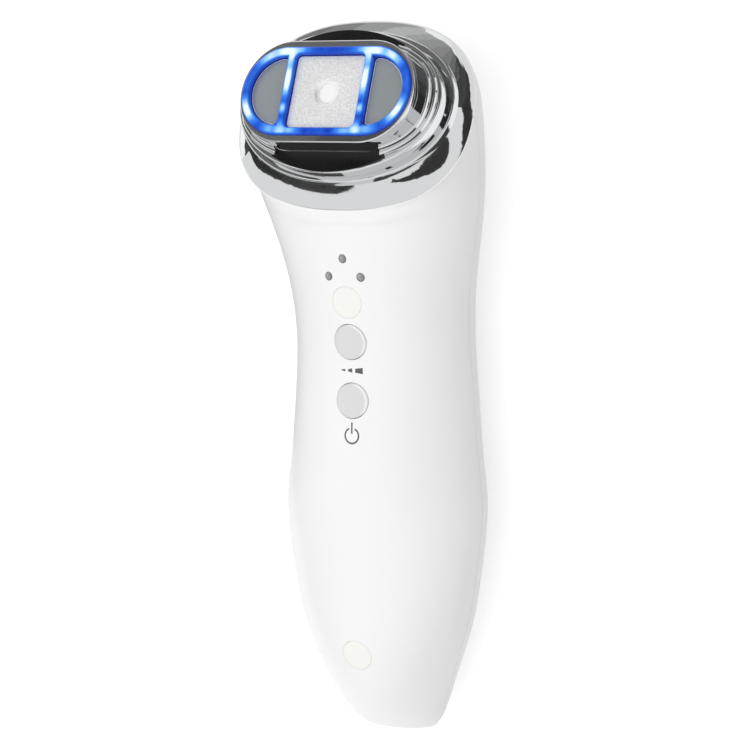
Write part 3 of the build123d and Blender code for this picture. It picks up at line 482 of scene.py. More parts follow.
def edge_lit_acrylic(sizes, colours):
    """Clear acrylic lit by the lamps behind it: pale over the lamps, blue between them, navy at its edges"""
    material = blank_material("Edge-lit acrylic, blue lamps")
    tree = material.node_tree
    turn = Matrix.Rotation(sizes.pitch, 4, "X")
    middle = turn @ (face_matrix(sizes).translation * MM_PER_M)
    place = node(tree, "ShaderNodeMapping", {
        "Vector": node(tree, "ShaderNodeTexCoord").outputs["Object"],
        "Location": -middle,
        "Rotation": (sizes.pitch, 0, 0),
        "Scale": (MM_PER_M,) * 3,
    })
    axes = node(tree, "ShaderNodeSeparateXYZ", {"Vector": place.outputs["Vector"]})
    across = node(tree, "ShaderNodeMath", {0: axes.outputs["X"]}, operation="ABSOLUTE").outputs[0]
    up = axes.outputs["Y"]
    up_size = node(tree, "ShaderNodeMath", {0: up}, operation="ABSOLUTE").outputs[0]
    flat = node(tree, "ShaderNodeCombineXYZ", {"X": across, "Y": up}).outputs["Vector"]

    # Distance in from the round-ended outline
    radius = sizes.guide_half_height * MM_PER_M
    straight = sizes.guide_half_width * MM_PER_M - radius
    past = node(tree, "ShaderNodeMath", {0: across, 1: straight}, operation="SUBTRACT").outputs[0]
    past = node(tree, "ShaderNodeMath", {0: past, 1: 0.0}, operation="MAXIMUM").outputs[0]
    reach = node(tree, "ShaderNodeVectorMath", {
        0: node(tree, "ShaderNodeCombineXYZ", {"X": past, "Y": up}).outputs["Vector"],
    }, operation="LENGTH").outputs["Value"]
    from_rim = node(tree, "ShaderNodeMath", {0: radius, 1: reach}, operation="SUBTRACT").outputs[0]

    # Distance out from the plate's opening
    corner = (sizes.plate_corner + sizes.fit_gap) * MM_PER_M
    half_width = (sizes.plate_width / 2 + sizes.fit_gap) * MM_PER_M - corner
    half_height = (sizes.plate_height / 2 + sizes.fit_gap) * MM_PER_M - corner
    over_x = node(tree, "ShaderNodeMath", {0: across, 1: half_width}, operation="SUBTRACT").outputs[0]
    over_x = node(tree, "ShaderNodeMath", {0: over_x, 1: 0.0}, operation="MAXIMUM").outputs[0]
    over_y = node(tree, "ShaderNodeMath", {0: up_size, 1: half_height}, operation="SUBTRACT").outputs[0]
    over_y = node(tree, "ShaderNodeMath", {0: over_y, 1: 0.0}, operation="MAXIMUM").outputs[0]
    off_plate = node(tree, "ShaderNodeVectorMath", {
        0: node(tree, "ShaderNodeCombineXYZ", {"X": over_x, "Y": over_y}).outputs["Vector"],
    }, operation="LENGTH").outputs["Value"]
    from_plate = node(tree, "ShaderNodeMath", {0: off_plate, 1: corner}, operation="SUBTRACT").outputs[0]

    # Distance out from the electrodes' openings
    centre = sizes.electrode_centre * MM_PER_M
    chord = sizes.electrode_edge * MM_PER_M
    gap = sizes.fit_gap * MM_PER_M
    off_centre = node(tree, "ShaderNodeVectorMath", {0: flat, 1: (centre, 0, 0)}, operation="DISTANCE")
    from_round = node(tree, "ShaderNodeMath", {
        0: off_centre.outputs["Value"],
        1: sizes.electrode_radius * MM_PER_M + gap,
    }, operation="SUBTRACT").outputs[0]
    from_chord = node(tree, "ShaderNodeMath", {0: chord - gap, 1: across}, operation="SUBTRACT").outputs[0]
    from_disc = node(tree, "ShaderNodeMath", {0: from_round, 1: from_chord}, operation="MAXIMUM").outputs[0]

    inner = node(tree, "ShaderNodeMath", {0: from_plate, 1: from_disc}, operation="MINIMUM").outputs[0]
    edge = node(tree, "ShaderNodeMath", {0: from_rim, 1: inner}, operation="MINIMUM").outputs[0]
    core = node(tree, "ShaderNodeMapRange", {
        "Value": edge,
        "From Min": RIM_CHANGE[0],
        "From Max": RIM_CHANGE[1],
    }, interpolation_type="SMOOTHSTEP").outputs["Result"]
    wall = node(tree, "ShaderNodeMapRange", {
        "Value": axes.outputs["Z"],
        "From Min": WALL_CHANGE[0],
        "From Max": WALL_CHANGE[1],
    }, interpolation_type="SMOOTHSTEP").outputs["Result"]
    core = node(tree, "ShaderNodeMath", {0: core, 1: wall}, operation="MULTIPLY").outputs[0]
    crown = node(tree, "ShaderNodeMapRange", {
        "Value": edge,
        "From Min": CROWN_CHANGE[0],
        "From Max": CROWN_CHANGE[1],
        "To Min": 0.2,
    }, interpolation_type="SMOOTHSTEP").outputs["Result"]

    glow = None
    for spot_x, spot_y, spot_reach, strength in GLOW_SPOTS:
        spot = (spot_x, spot_y, 0)
        off_spot = node(tree, "ShaderNodeVectorMath", {0: flat, 1: spot}, operation="DISTANCE")
        lit = node(tree, "ShaderNodeMapRange", {
            "Value": off_spot.outputs["Value"],
            "From Max": SPOT_FADE * spot_reach,
            "To Min": strength,
            "To Max": 0.0,
        }, interpolation_type="SMOOTHSTEP").outputs["Result"]
        if glow:
            both = {0: glow, 1: lit, 2: SPOT_BLEND}
            lit = node(tree, "ShaderNodeMath", both, operation="SMOOTH_MAX").outputs[0]
        glow = lit
    # The acrylic diffuses unevenly, in faint clouds about 3 mm across
    cloud = node(tree, "ShaderNodeTexNoise", {
        "Vector": place.outputs["Vector"],
        "Scale": 0.35,
        "Detail": 2.0,
    })
    cloudy = node(tree, "ShaderNodeMapRange", {
        "Value": cloud.outputs["Fac"],
        "From Min": 0.3,
        "From Max": 0.7,
        "To Min": -0.08,
        "To Max": 0.05,
    }).outputs["Result"]
    glow = node(tree, "ShaderNodeMath", {0: glow, 1: cloudy}, operation="ADD", use_clamp=True).outputs[0]
    glow = node(tree, "ShaderNodeMath", {0: glow, 1: crown}, operation="MULTIPLY").outputs[0]

    ramp = node(tree, "ShaderNodeValToRGB", {"Fac": glow})
    ramp.color_ramp.elements[0].color = rgba(colours.glow_deep)
    ramp.color_ramp.elements[1].color = rgba(colours.glow_bright)
    ramp.color_ramp.elements[1].position = 0.8
    ramp.color_ramp.elements.new(0.35).color = rgba(colours.glow_middle)
    ramp.color_ramp.elements.new(0.58).color = rgba(colours.glow_pale)
    lit_colour = node(tree, "ShaderNodeMixRGB", {
        "Fac": core,
        "Color1": rgba(colours.glow_rim),
        "Color2": ramp.outputs["Color"],
    }).outputs["Color"]
    shader = node(tree, "ShaderNodeBsdfPrincipled", {
        "Base Color": rgba(colours.glow_rim),
        "Roughness": 0.12,
        "IOR": 1.49,
        "Specular IOR Level": 0.25,
        "Emission Color": lit_colour,
        "Emission Strength": 1.0,
    })
    node(tree, "ShaderNodeOutputMaterial", {"Surface": shader.outputs["BSDF"]})
    return material


class LightTheGuide(bpy.types.Operator):
    """Lights the guide round the plate and the electrodes"""

    bl_idname = "facial_device.light_guide"
    bl_label = "Light Guide"

    def execute(self, context):
        scene = context.scene
        dress(["light_guide"], edge_lit_acrylic(scene.facial_device_sizes, scene.facial_device_colours))
        return {"FINISHED"}


def blasted_steel(colour):
    """Stainless steel blasted with fine grit: pale, with sparks and pits"""
    material = blank_material("Stainless steel, bead-blasted")
    tree = material.node_tree
    place = node(tree, "ShaderNodeTexCoord").outputs["Object"]
    # Grit of 0.1 mm is too fine to show here, so it is drawn at 0.45 mm, and its pits at 0.6 mm
    grit_size, pit_size = 0.00045, 0.0006
    grit = node(tree, "ShaderNodeTexNoise", {"Vector": place, "Scale": 1 / grit_size, "Detail": 2.0})
    pits = node(tree, "ShaderNodeTexVoronoi", {"Vector": place, "Scale": 1 / pit_size})
    shade = node(tree, "ShaderNodeValToRGB", {"Fac": grit.outputs["Fac"]})
    shade.color_ramp.elements[0].position = 0.32
    shade.color_ramp.elements[0].color = rgba(colour, 0.78)
    shade.color_ramp.elements[1].position = 0.68
    shade.color_ramp.elements[1].color = rgba(colour, 1.25)
    relief = node(tree, "ShaderNodeMath", {
        0: grit.outputs["Fac"],
        1: pits.outputs["Distance"],
    }, operation="ADD")
    bump = node(tree, "ShaderNodeBump", {
        "Strength": 0.6,
        "Distance": 0.00004,
        "Height": relief.outputs[0],
    })
    shader = node(tree, "ShaderNodeBsdfPrincipled", {
        "Base Color": shade.outputs["Color"],
        "Metallic": 0.4,
        "Roughness": 0.5,
        "Normal": bump.outputs["Normal"],
    })
    node(tree, "ShaderNodeOutputMaterial", {"Surface": shader.outputs["BSDF"]})
    return material


class MakePlate(bpy.types.Operator):
    """Makes the transducer plate with its softened edge and its turned well"""

    bl_idname = "facial_device.make_plate"
    bl_label = "Transducer Plate"

    def execute(self, context):
        scene = context.scene
        sizes = scene.facial_device_sizes
        plate = soft_edged_copy("transducer_plate", sizes.edge_round)
        settle(plate, "transducer_plate_face", HOUSING, "speckled_steel",
               blasted_steel(scene.facial_device_colours.plate), "transducer_plate")
        # The well and its rounded lip are turned after the blasting: smooth, paler metal
        turned = fine_finish("Stainless steel, fine-turned", scene.facial_device_colours.emitter, 0.3,
                             metallic=0.6, grain=0.0004, tint=0.02, spread=0.05)
        plate.data.materials.append(turned)
        to_face = face_matrix(sizes).inverted()
        just_past_lip = 1.1
        reach = sizes.well_radius + just_past_lip * sizes.edge_round
        places = [(to_face @ vertex.co).xy.length for vertex in plate.data.vertices]
        for face in plate.data.polygons:
            if max(places[index] for index in face.vertices) < reach:
                face.material_index = 1
        return {"FINISHED"}


# Rings of the emitter's crown from its rim inwards: width and rise, in metres
CROWN_RINGS = [(0.0003, 0.0002), (0.0008, 0.00005), (0.0011, 0.00001)]


class MakeEmitter(bpy.types.Operator):
    """Makes the round emitter in the middle of the plate, with a soft crown and a rounded rim"""

    bl_idname = "facial_device.make_emitter"
    bl_label = "Emitter"

    def execute(self, context):
        scene = context.scene
        sizes = scene.facial_device_sizes
        middle = box_middle("emitter_disc")
        deselect()
        rim = box_size("emitter_disc").x / 2
        bpy.ops.mesh.primitive_cylinder_add(vertices=96, radius=rim, depth=sizes.emitter_thickness,
                                            location=middle, rotation=(-sizes.pitch, 0, 0))
        disc = bpy.context.object
        select_faces(disc, lambda face: face.normal.z > 0.9)
        bpy.ops.mesh.inset(thickness=rim - sizes.emitter_radius, depth=0)
        for width, rise in CROWN_RINGS:
            bpy.ops.mesh.inset(thickness=width, depth=rise)
        bpy.ops.object.mode_set(mode="OBJECT")
        bpy.ops.object.shade_smooth_by_angle(angle=radians(40))
        # Polished stainless steel mirrors the white room; here that is a painted reflection, an even, plain
        # white colour on a face shaded as a non-metal
        polished = fine_finish("Stainless steel, polished, painted reflection", scene.facial_device_colours.emitter, 0.35,
                               grain=0.0005, tint=0.01, spread=0.05)
        settle(disc, "emitter_face", HOUSING, "polished_steel", polished, "emitter_disc")
        return {"FINISHED"}


class MakeElectrodes(bpy.types.Operator):
    """Makes the two half-disc electrodes with their rounded edges"""

    bl_idname = "facial_device.make_electrodes"
    bl_label = "Electrodes"

    def execute(self, context):
        scene = context.scene
        sizes = scene.facial_device_sizes
        # Stainless steel with a satin grind: an even mid grey with a soft sheen
        satin = fine_finish("Stainless steel, satin ground", scene.facial_device_colours.electrode, 0.42,
                            metallic=0.45, grain=0.0004, tint=0.03, spread=0.05, relief=0.000003)
        # The break along the edge is polished afterwards, and its thin, paler line is a painted highlight: a
        # near-white colour on the edge faces
        bright = fine_finish("Stainless steel, edge-polished, painted highlight", scene.facial_device_colours.emitter, 0.3,
                             metallic=0.2, grain=0.0004, tint=0.02, spread=0.05)
        out = Vector((0, sin(sizes.pitch), cos(sizes.pitch)))
        side_wall, flat_face = 0.2, 0.97
        for name in ("left_electrode", "right_electrode"):
            electrode = soft_edged_copy(name, sizes.edge_round)
            settle(electrode, name + "_face", HOUSING, "electrode_steel", satin, name)
            electrode.data.materials.append(bright)
            # The edge faces between the side walls and the flat face get the painted highlight
            for face in electrode.data.polygons:
                if side_wall < face.normal.dot(out) < flat_face:
                    face.material_index = 1
        return {"FINISHED"}


# The side on which a button's rounding gets a painted highlight, and how far a face turns to it, and away
# from it, as the painted highlight and the painted shade set in
HIGHLIGHT_SIDE = (0.92, 0.39, 0.0)
HIGHLIGHT_TURN = (0.12, 0.45)
SHADE_TURN = (-0.12, -0.6)


def satin_button(colour):
    """Satin ABS whose rounding has a painted highlight on the device's right and painted shade on its left"""
    material = fine_finish("Satin grey ABS, spark-textured, painted highlight and shade", colour, 0.5, ior=1.53, grain=0.0003, tint=0.015,
                           spread=0.04, relief=0.000006)
    shader, grained = grained_colour(material)
    tree = material.node_tree
    # Painted highlight and painted shade: the colour turns white where a face turns to the device's right,
    # and darker where it turns away
    facing = node(tree, "ShaderNodeVectorMath", {
        0: node(tree, "ShaderNodeNewGeometry").outputs["Normal"],
        1: HIGHLIGHT_SIDE,
    }, operation="DOT_PRODUCT").outputs["Value"]
    lit = node(tree, "ShaderNodeMapRange", {
        "Value": facing,
        "From Min": HIGHLIGHT_TURN[0],
        "From Max": HIGHLIGHT_TURN[1],
    })
    shaded = node(tree, "ShaderNodeMapRange", {
        "Value": facing,
        "From Min": SHADE_TURN[0],
        "From Max": SHADE_TURN[1],
        "To Max": 0.5,
    })
    pale = node(tree, "ShaderNodeMixRGB", {
        "Fac": lit.outputs["Result"],
        "Color1": grained,
        "Color2": (1, 1, 1, 1),
    })
    both = node(tree, "ShaderNodeMixRGB", {
        "Fac": shaded.outputs["Result"],
        "Color1": pale.outputs["Color"],
        "Color2": rgba(colour, 0.6),
    })
    tree.links.new(both.outputs["Color"], shader.inputs["Base Color"])
    return material


class DressButtons(bpy.types.Operator):
    """Gives the two buttons their satin grey, with a painted highlight and painted shade on their rounding"""

    bl_idname = "facial_device.dress_buttons"
    bl_label = "Buttons"

    def execute(self, context):
        colours = context.scene.facial_device_colours
        # ABS moulded against a fine spark-eroded tool: a satin grey that shows no streaks
        dress(["level_button", "power_button"], satin_button(colours.button))
        return {"FINISHED"}


class DressPlugs(bpy.types.Operator):
    """Gives the screw plugs their warm white"""

    bl_idname = "facial_device.dress_plugs"
    bl_label = "Screw Plugs"

    def execute(self, context):
        colours = context.scene.facial_device_colours
        # Soft TPU, moulded: a warm white, duller than the shell round it
        cream = fine_finish("Warm white TPU, moulded", colours.plug, 0.45, ior=1.5, grain=0.0004, tint=0.01,
                            spread=0.04, relief=0.000004)
        dress(["upper_plug", "lower_plug"], cream)
        return {"FINISHED"}


class DressMarks(bpy.types.Operator):
    """Prints the level mark and the power mark"""

    bl_idname = "facial_device.dress_marks"
    bl_label = "Printed Marks"

    def execute(self, context):
        colours = context.scene.facial_device_colours
        # Pad-printed ink: a flat grey with slightly uneven cover
        ink = fine_finish("Grey ink, pad-printed", colours.ink, 0.55, grain=0.0002, tint=0.12, spread=0.05)
        dress(["level_mark", "power_mark"], ink)
        return {"FINISHED"}


LENS_RADIUS = 0.001


def sunk_lens(colour, spacing):
    """Smoked acrylic at the bottom of a small hole, with painted light and shade: pale on the left where
    light falls in, painted shade under the right wall
    """
    material = fine_finish("Smoked acrylic, moulded, painted light and shade", colour, 0.2, ior=1.49, grain=0.0006, tint=0.12,
                           spread=0.05)
    shader, grained = grained_colour(material)
    tree = material.node_tree
    place = node(tree, "ShaderNodeTexCoord").outputs["Object"]
    across = node(tree, "ShaderNodeSeparateXYZ", {"Vector": place}).outputs["X"]
    # The lights stand one spacing apart, so each has the same place within a step of that width
    beside = node(tree, "ShaderNodeMath", {
        0: across,
        1: spacing / 2,
        2: -spacing / 2,
    }, operation="WRAP").outputs[0]
    # Painted light and shade: each lens is paler on its left and darker on its right
    shade = node(tree, "ShaderNodeMapRange", {
        "Value": beside,
        "From Min": -LENS_RADIUS,
        "From Max": LENS_RADIUS,
    }, interpolation_type="SMOOTHSTEP").outputs["Result"]
    painted_light_and_shade = node(tree, "ShaderNodeMixRGB", {
        "Fac": shade,
        "Color1": rgba(colour, 1.7),
        "Color2": rgba(colour, 0.55),
    })
    both = node(tree, "ShaderNodeMixRGB", {
        "Fac": 0.85,
        "Color1": grained,
        "Color2": painted_light_and_shade.outputs["Color"],
    })
    tree.links.new(both.outputs["Color"], shader.inputs["Base Color"])
    return material


class DressLights(bpy.types.Operator):
    """Gives the level lights their smoke-grey lens, with painted light and shade"""

    bl_idname = "facial_device.dress_lights"
    bl_label = "Level Lights"

    def execute(self, context):
        scene = context.scene
        # Acrylic light pipe, unlit: smoke grey with a glassy surface, and the light and shade of its hole
        # painted into its colour
        lens = sunk_lens(scene.facial_device_colours.lens, scene.facial_device_sizes.light_spacing)
        dress(["light_pipe"], lens)
        return {"FINISHED"}


class DressInlet(bpy.types.Operator):
    """Gives the charging inlet its black body, and its pin and the electrodes' pins their plate"""

    bl_idname = "facial_device.dress_inlet"
    bl_label = "Charging Inlet"

    def execute(self, context):
        # Glass-filled nylon, moulded: matt black with a fine grain
        black = fine_finish("Black glass-filled nylon, moulded", linear("#1B1B1C"), 0.55, ior=1.53,
                            grain=0.0003, tint=0.15, spread=0.06, relief=0.00001)
        # Brass with a bright nickel plate: a pale yellowish mirror
        plated = fine_finish("Brass, nickel-plated", linear("#D9D2BD"), 0.18, metallic=1.0, grain=0.0005,
                             tint=0.03, spread=0.05)
        dress(["charge_jack"], black)
        dress(["charge_pin", "left_electrode_pin", "right_electrode_pin"], plated)
        return {"FINISHED"}


class DressInside(bpy.types.Operator):
    """Gives the pieces inside the shells their finishes"""

    bl_idname = "facial_device.dress_inside"
    bl_label = "Inner Pieces"

    def execute(self, context):
        # Each row: the finish's name, colour, roughness, metallic, grain in metres, tint and the pieces
        rows = [
            # Epoxy glass laminate under solder mask: deep green with a woven unevenness
            ("FR4 laminate, solder-masked", "#1F5A36", 0.35, 0.0, 0.0006, 0.12,
             ["main_board", "charge_board", "led_board"]),
            # Mild steel, zinc-plated: a cool bright grey
            ("Mild steel, zinc-plated", "#C4C7CA", 0.28, 1.0, 0.0008, 0.06,
             ["upper_case_screw", "lower_case_screw", "board_screw_1", "board_screw_2",
              "negative_tab", "positive_tab"] + [f"head_screw_{n}" for n in range(1, 5)]),
            # Shrink film over a steel can: smooth blue
            ("PVC shrink film, printed blue", "#2B62B5", 0.3, 0.0, 0.004, 0.03, ["battery_cell"]),
            # Nylon with glass, moulded: dark grey and slightly mottled
            ("Dark glass-filled nylon, moulded", "#3A3A3C", 0.55, 0.0, 0.0005, 0.08, ["inner_frame"]),
            # ABS, moulded and left natural: a dull off-white
            ("Natural ABS, moulded", "#D8D7D2", 0.5, 0.0, 0.0006, 0.03, ["head_carrier"]),
            # Epoxy over a chip, moulded: matt charcoal
            ("Epoxy encapsulant, moulded", "#222224", 0.6, 0.0, 0.0003, 0.12,
             ["controller_chip", "level_switch", "power_switch", "level_plunger", "power_plunger"]),
            # Ferrite, pressed and sintered: nearly black with a grainy surface
            ("Ferrite, sintered", "#2C2C2E", 0.7, 0.0, 0.0004, 0.15, ["drive_transformer", "drive_coil"]),
            # Lead zirconate ceramic with fired silver faces: pale and dull
            ("Piezo ceramic, silvered", "#CFC9B4", 0.45, 0.4, 0.0005, 0.05, ["piezo_disc"]),
            # Polyimide film: amber with a slight sheen
            ("Polyimide film, laminated", "#B9802F", 0.32, 0.0, 0.001, 0.05, ["head_ribbon"]),
            # Silicone lens over a small lamp: milky
            ("Silicone lens, moulded", "#E9ECEF", 0.25, 0.0, 0.0004, 0.03,
             [f"head_led_{n}" for n in range(1, 9)] + [f"indicator_light_{n}" for n in range(1, 4)]),
            # PVC cover, extruded: red and smooth
            ("PVC cover, extruded red", "#A32A22", 0.4, 0.0, 0.001, 0.05, ["charge_lead_1", "charge_lead_2"]),
        ]
        for name, colour, roughness, metallic, grain, tint, pieces in rows:
            finish = fine_finish(name, linear(colour), roughness, metallic=metallic, grain=grain, tint=tint)
            dress(pieces, finish)
        return {"FINISHED"}


LAMP_WIDTH = 1.2
LAMP_AIM = Vector((0, 0, 0.02))


def area_lamp(name, place, power):
    """Hangs a wide round lamp that is turned to the device, and that mirrors don't see"""
    lamp = bpy.data.lights.new(name, "AREA")
    lamp.shape = "DISK"
    lamp.size = LAMP_WIDTH
    lamp.energy = power
    holder = bpy.data.objects.new(name, lamp)
    bpy.context.scene.collection.objects.link(holder)
    holder.location = place
    holder.rotation_euler = (LAMP_AIM - Vector(place)).to_track_quat("-Z", "Y").to_euler()
    holder.visible_glossy = False


# Flags from black to mid grey hung round the head, which only mirrors see: shade, then the outline as
# azimuths and elevations in degrees, as seen from the head
FLAGS = [
    (0.07, [(-106, 64.8), (-102, 66.8), (-98, 68.2), (-94, 69.4), (-88, 70.5), (-80, 71.3), (-70, 72),
            (-60, 71.8), (-50, 71.4), (-40, 71), (-32, 70), (-26, 68), (-20, 65.5), (-15, 63), (-11, 60),
            (-9, 55), (-7.5, 48), (-6.5, 41), (-7, 34), (-14, 38), (-20, 46), (-25, 51), (-30, 55),
            (-35, 57.7), (-40, 60), (-45, 62.5), (-50, 64.8), (-60, 66.8), (-70, 67.9), (-80, 67.9),
            (-90, 67), (-100, 65.6)]),
    (0.055, [(3.5, 57), (5, 52), (7, 45), (8.5, 38), (10, 30), (10.2, 25), (11, 20), (12, 15), (13.5, 10),
             (15.5, 5), (18, 0), (21, -4), (72, -3), (60, -0.3), (50, 0.6), (40, 1.5), (30, 3), (25, 5),
             (21.5, 8), (20, 11), (23, 15), (23, 46), (10, 50), (6, 57)]),
    (0.06, [(-173, -6), (-171.5, 0), (-171, 6), (-169.5, 13), (-167, 19), (-164, 24), (-160, 29.5),
            (-155, 35.5), (-150, 40.3), (-145, 44), (-140, 47.3), (-135, 50.7), (-130, 53.8), (-127, 52.5),
            (-135, 48), (-142, 43), (-150, 35.5), (-156, 28), (-160, 20), (-164, 10), (-166, -3)]),
    (0.14, [(-142, 41), (-136, 42), (-129, 34), (-123, 22), (-115, 12), (-108, 4), (-163, -4), (-162, 10),
            (-158, 20), (-154, 28), (-149, 34)]),
    (0.06, [(26, 12), (26, 50), (36, 66), (52, 60), (52, 12)]),
    (0.11, [(52, 12), (52, 60), (70, 54), (70, 12)]),
    (0.18, [(70, 12), (70, 54), (90, 50), (108, 44), (108, 12)]),
    (0.28, [(114, 30), (114, 39.7), (156, 39.7), (156, 30)]),
    (0.17, [(114, 39.7), (114, 62), (156, 62), (156, 39.7)]),
    (0.1, [(-98, 4), (-60, 4), (-45, 2), (-40, -2), (-100, -2)]),
]

# Mats from black to pale grey over the floor, which only mirrors see: shade, then the outline across and
# along, in metres; each lies a little higher than the one before, so that no two share a plane
MATS = [
    (0.25, [(-0.07, 0.105), (-0.07, 0.137), (-0.045, 0.137), (-0.045, 0.105)]),
    (0.32, [(-0.045, 0.105), (-0.045, 0.137), (-0.03, 0.137), (-0.025, 0.105)]),
    (0.45, [(-0.025, 0.105), (-0.03, 0.137), (-0.03, 0.19), (-0.02, 0.2), (-0.014, 0.105)]),
    (0.62, [(-0.014, 0.105), (-0.02, 0.2), (-0.008, 0.23), (-0.004, 0.105)]),
    (0.5, [(-0.004, 0.105), (-0.008, 0.23), (0.0, 0.3), (0.003, 0.105)]),
    (0.41, [(0.003, 0.105), (0.0, 0.3), (0.01, 0.45), (0.02, 0.45), (0.015, 0.105)]),
    (0.34, [(0.015, 0.105), (0.02, 0.45), (0.035, 0.45), (0.03, 0.105)]),
    (0.27, [(0.03, 0.105), (0.035, 0.45), (0.055, 0.45), (0.046, 0.105)]),
    (0.19, [(0.046, 0.105), (0.055, 0.45), (0.073, 0.45), (0.074, 0.3), (0.062, 0.11)]),
    (0.11, [(0.062, 0.11), (0.074, 0.3), (0.1, 0.2), (0.096, 0.16)]),
    (0.2, [(0.063, 0.11), (0.096, 0.159), (0.14, 0.164), (0.2, 0.15), (0.13, 0.103), (0.1, 0.103)]),
    (0.06, [(0.1, 0.2), (0.074, 0.3), (0.073, 0.45), (0.08, 0.5), (0.6, 1.6), (1.7, 1.7), (1.7, 0.8),
            (0.8, 0.36), (0.45, 0.21), (0.28, 0.17), (0.14, 0.165), (0.096, 0.16)]),
    (0.05, [(0.07, 0.09), (0.085, 0.07), (0.092, 0.04), (0.093, 0.0), (0.085, -0.03), (0.07, -0.06),
            (0.05, -0.095), (0.065, -0.11), (0.09, -0.08), (0.108, -0.04), (0.115, 0.0), (0.112, 0.05),
            (0.1, 0.08), (0.085, 0.1)]),
    (0.06, [(-0.05, 0.05), (-0.1, 0.057), (-0.2, 0.056), (-0.3, 0.05), (-0.41, 0.045), (-1.1, 0.03),
            (-1.1, -0.3), (-0.4, -0.12), (-0.05, -0.02)]),
]
MAT_STEP = 0.0001


def velvet(shade):
    """Velvet on a board, from black to a pale grey: dull, with a slight nap"""
    return fine_finish("Velvet, woven", (shade, shade, shade), 0.95, ior=1.2, grain=0.01, tint=0.1,
                       spread=0.02)


def mirror_only(name, shade, corners):
    """Cuts a card of the stage to an outline; it shows in mirrors alone and shades nothing"""
    deselect()
    bpy.ops.mesh.primitive_circle_add(vertices=len(corners), radius=0.1, fill_type="NGON")
    card = bpy.context.object
    for vertex, corner in zip(card.data.vertices, corners):
        vertex.co = corner
    card.name = name
    card.data.materials.append(velvet(shade))
    card.visible_camera = False
    card.visible_diffuse = False
    card.visible_transmission = False
    card.visible_volume_scatter = False
    card.visible_shadow = False


def hang_flags(distance):
    """Hangs the flags at one distance from the head, and lays the mats"""
    head = box_middle("transducer_plate")
    for number, (shade, outline) in enumerate(FLAGS, start=1):
        corners = []
        for azimuth, elevation in outline:
            a, e = radians(azimuth), radians(elevation)
            corners.append(head + distance * Vector((cos(e) * cos(a), cos(e) * sin(a), sin(e))))
        mirror_only(f"flag_{number}", shade, corners)
    for number, (shade, outline) in enumerate(MATS, start=1):
        mirror_only(f"mat_{number}", shade, [Vector((x, y, MAT_STEP * number)) for x, y in outline])


def looked_at(tree):
    """1 for rays that look at a thing, also in a mirror or through glass, and 0 for rays that light it"""
    sight = node(tree, "ShaderNodeLightPath")
    seen = sight.outputs["Is Camera Ray"]
    for kind in ("Is Glossy Ray", "Is Transmission Ray"):
        rays = {0: seen, 1: sight.outputs[kind]}
        seen = node(tree, "ShaderNodeMath", rays, operation="MAXIMUM").outputs[0]
    return seen


def pale_floor():
    """White lacquered board: pale, matt, kept white by a little light of its own where it is looked at"""
    material = blank_material("White lacquered board")
    tree = material.node_tree
    place = node(tree, "ShaderNodeTexCoord").outputs["Object"]
    mottle = node(tree, "ShaderNodeTexNoise", {"Vector": place, "Scale": 40.0, "Detail": 2.0})
    shade = node(tree, "ShaderNodeMixRGB", {
        "Fac": mottle.outputs["Fac"],
        "Color1": rgba(linear("#DADADA")),
        "Color2": rgba(linear("#DEDEDE")),
    })
    board = node(tree, "ShaderNodeBsdfDiffuse", {"Color": shade.outputs["Color"]})
    level = node(tree, "ShaderNodeMath", {0: looked_at(tree), 1: 0.5}, operation="MULTIPLY")
    own = node(tree, "ShaderNodeEmission", {"Color": (1, 1, 1, 1), "Strength": level.outputs[0]})
    both = node(tree, "ShaderNodeAddShader", {0: board.outputs["BSDF"], 1: own.outputs["Emission"]})
    node(tree, "ShaderNodeOutputMaterial", {"Surface": both.outputs["Shader"]})
    return material


# The floor's rim lies just under the plane on which the device rests, and its middle is sunk below it
FLOOR_GAP = 0.0003
FLOOR_RIM = 0.02
FLOOR_SINK = 0.002

# Towards the part of the surroundings that is dark, and how far a direction turns to it before it is
DARK_SIDE = (0.87, 0.0, -0.49)
DARK_SIDE_TURN = (0.4, 0.9)


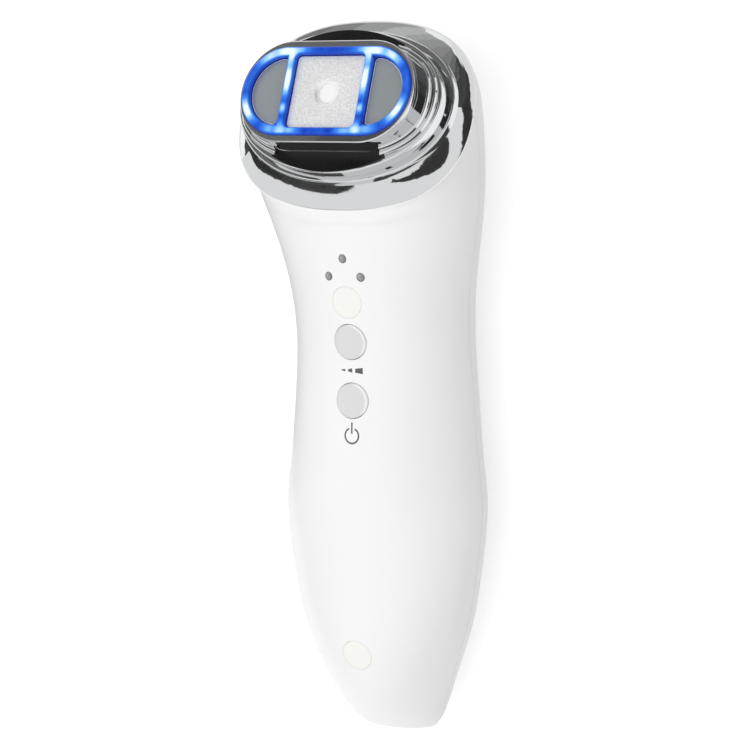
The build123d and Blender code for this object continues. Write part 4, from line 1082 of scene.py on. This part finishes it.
class BuildStage(bpy.types.Operator):
    """Lays the pale floor and sets up the lamps, the surroundings and the camera"""

    bl_idname = "facial_device.build_stage"
    bl_label = "Stage"

    def execute(self, context):
        scene = context.scene
        stage = scene.facial_device_stage
        deselect()
        bpy.ops.mesh.primitive_circle_add(vertices=128, radius=stage.floor_radius, fill_type="NGON",
                                          location=(0, 0, -FLOOR_GAP))
        floor = bpy.context.object
        bpy.ops.object.mode_set(mode="EDIT")
        bpy.ops.mesh.select_all(action="SELECT")
        bpy.ops.mesh.inset(thickness=FLOOR_RIM, depth=-FLOOR_SINK)
        bpy.ops.object.mode_set(mode="OBJECT")
        bpy.ops.object.transform_apply(location=True, rotation=True, scale=True)
        floor.name = "floor"
        floor.data.materials.append(pale_floor())

        area_lamp("key lamp", (-0.55, -0.05, 0.95), stage.key_power)
        area_lamp("fill lamp", (0.3, -0.15, 1.05), stage.fill_power)
        hang_flags(stage.flag_distance)

        world = bpy.data.worlds.new("Pale surroundings")
        world.use_nodes = True
        world.node_tree.nodes.clear()
        tree = world.node_tree
        # The room is darker low on the right, so the far side of the body falls off quickly
        low_right = node(tree, "ShaderNodeVectorMath", {
            0: node(tree, "ShaderNodeTexCoord").outputs["Generated"],
            1: DARK_SIDE,
        }, operation="DOT_PRODUCT").outputs["Value"]
        dimmer = node(tree, "ShaderNodeMapRange", {
            "Value": low_right,
            "From Min": DARK_SIDE_TURN[0],
            "From Max": DARK_SIDE_TURN[1],
            "To Min": stage.world_level,
            "To Max": stage.far_level,
        })
        level = node(tree, "ShaderNodeMapRange", {
            "Value": looked_at(tree),
            "To Min": dimmer.outputs["Result"],
        })
        around = node(tree, "ShaderNodeBackground", {
            "Color": (1, 1, 1, 1),
            "Strength": level.outputs["Result"],
        })
        node(tree, "ShaderNodeOutputWorld", {"Surface": around.outputs["Background"]})
        scene.world = world

        lens = bpy.data.cameras.new("camera")
        lens.sensor_fit = "HORIZONTAL"
        lens.sensor_width = 36.0
        lens.lens = stage.camera_lens
        lens.clip_start = 0.01
        camera = bpy.data.objects.new("camera", lens)
        scene.collection.objects.link(camera)
        camera.location = stage.camera_place
        camera.rotation_euler = stage.camera_turn
        scene.camera = camera
        scene.view_settings.view_transform = "Standard"
        return {"FINISHED"}


STEPS = [
    DressShells, DressCollar, DressInserts, LightTheGuide, MakePlate, MakeEmitter, MakeElectrodes,
    DressButtons, DressPlugs, DressMarks, DressLights, DressInlet, DressInside, BuildStage,
]


class FacialDevicePanel(bpy.types.Panel):
    """Lists the sizes, the colours and the steps that make the device"""

    bl_idname = "VIEW3D_PT_facial_device"
    bl_label = "Ultrasonic Facial Device"
    bl_space_type = "VIEW_3D"
    bl_region_type = "UI"
    bl_category = "Facial Device"

    def draw(self, context):
        scene = context.scene
        for settings in (scene.facial_device_sizes, scene.facial_device_colours, scene.facial_device_stage):
            group = self.layout.box()
            for name in settings.__annotations__:
                group.prop(settings, name)
        for step in STEPS:
            self.layout.operator(step.bl_idname)


CLASSES = [FaceSizes, FinishColours, StageSettings, *STEPS, FacialDevicePanel]


def register():
    for cls in CLASSES:
        bpy.utils.register_class(cls)
    bpy.types.Scene.facial_device_sizes = PointerProperty(type=FaceSizes)
    bpy.types.Scene.facial_device_colours = PointerProperty(type=FinishColours)
    bpy.types.Scene.facial_device_stage = PointerProperty(type=StageSettings)


def unregister():
    del bpy.types.Scene.facial_device_stage
    del bpy.types.Scene.facial_device_colours
    del bpy.types.Scene.facial_device_sizes
    for cls in reversed(CLASSES):
        bpy.utils.unregister_class(cls)


def main():
    register()
    for step in STEPS:
        getattr(bpy.ops.facial_device, step.bl_idname.removeprefix("facial_device."))()


if __name__ == "__main__":
    main()
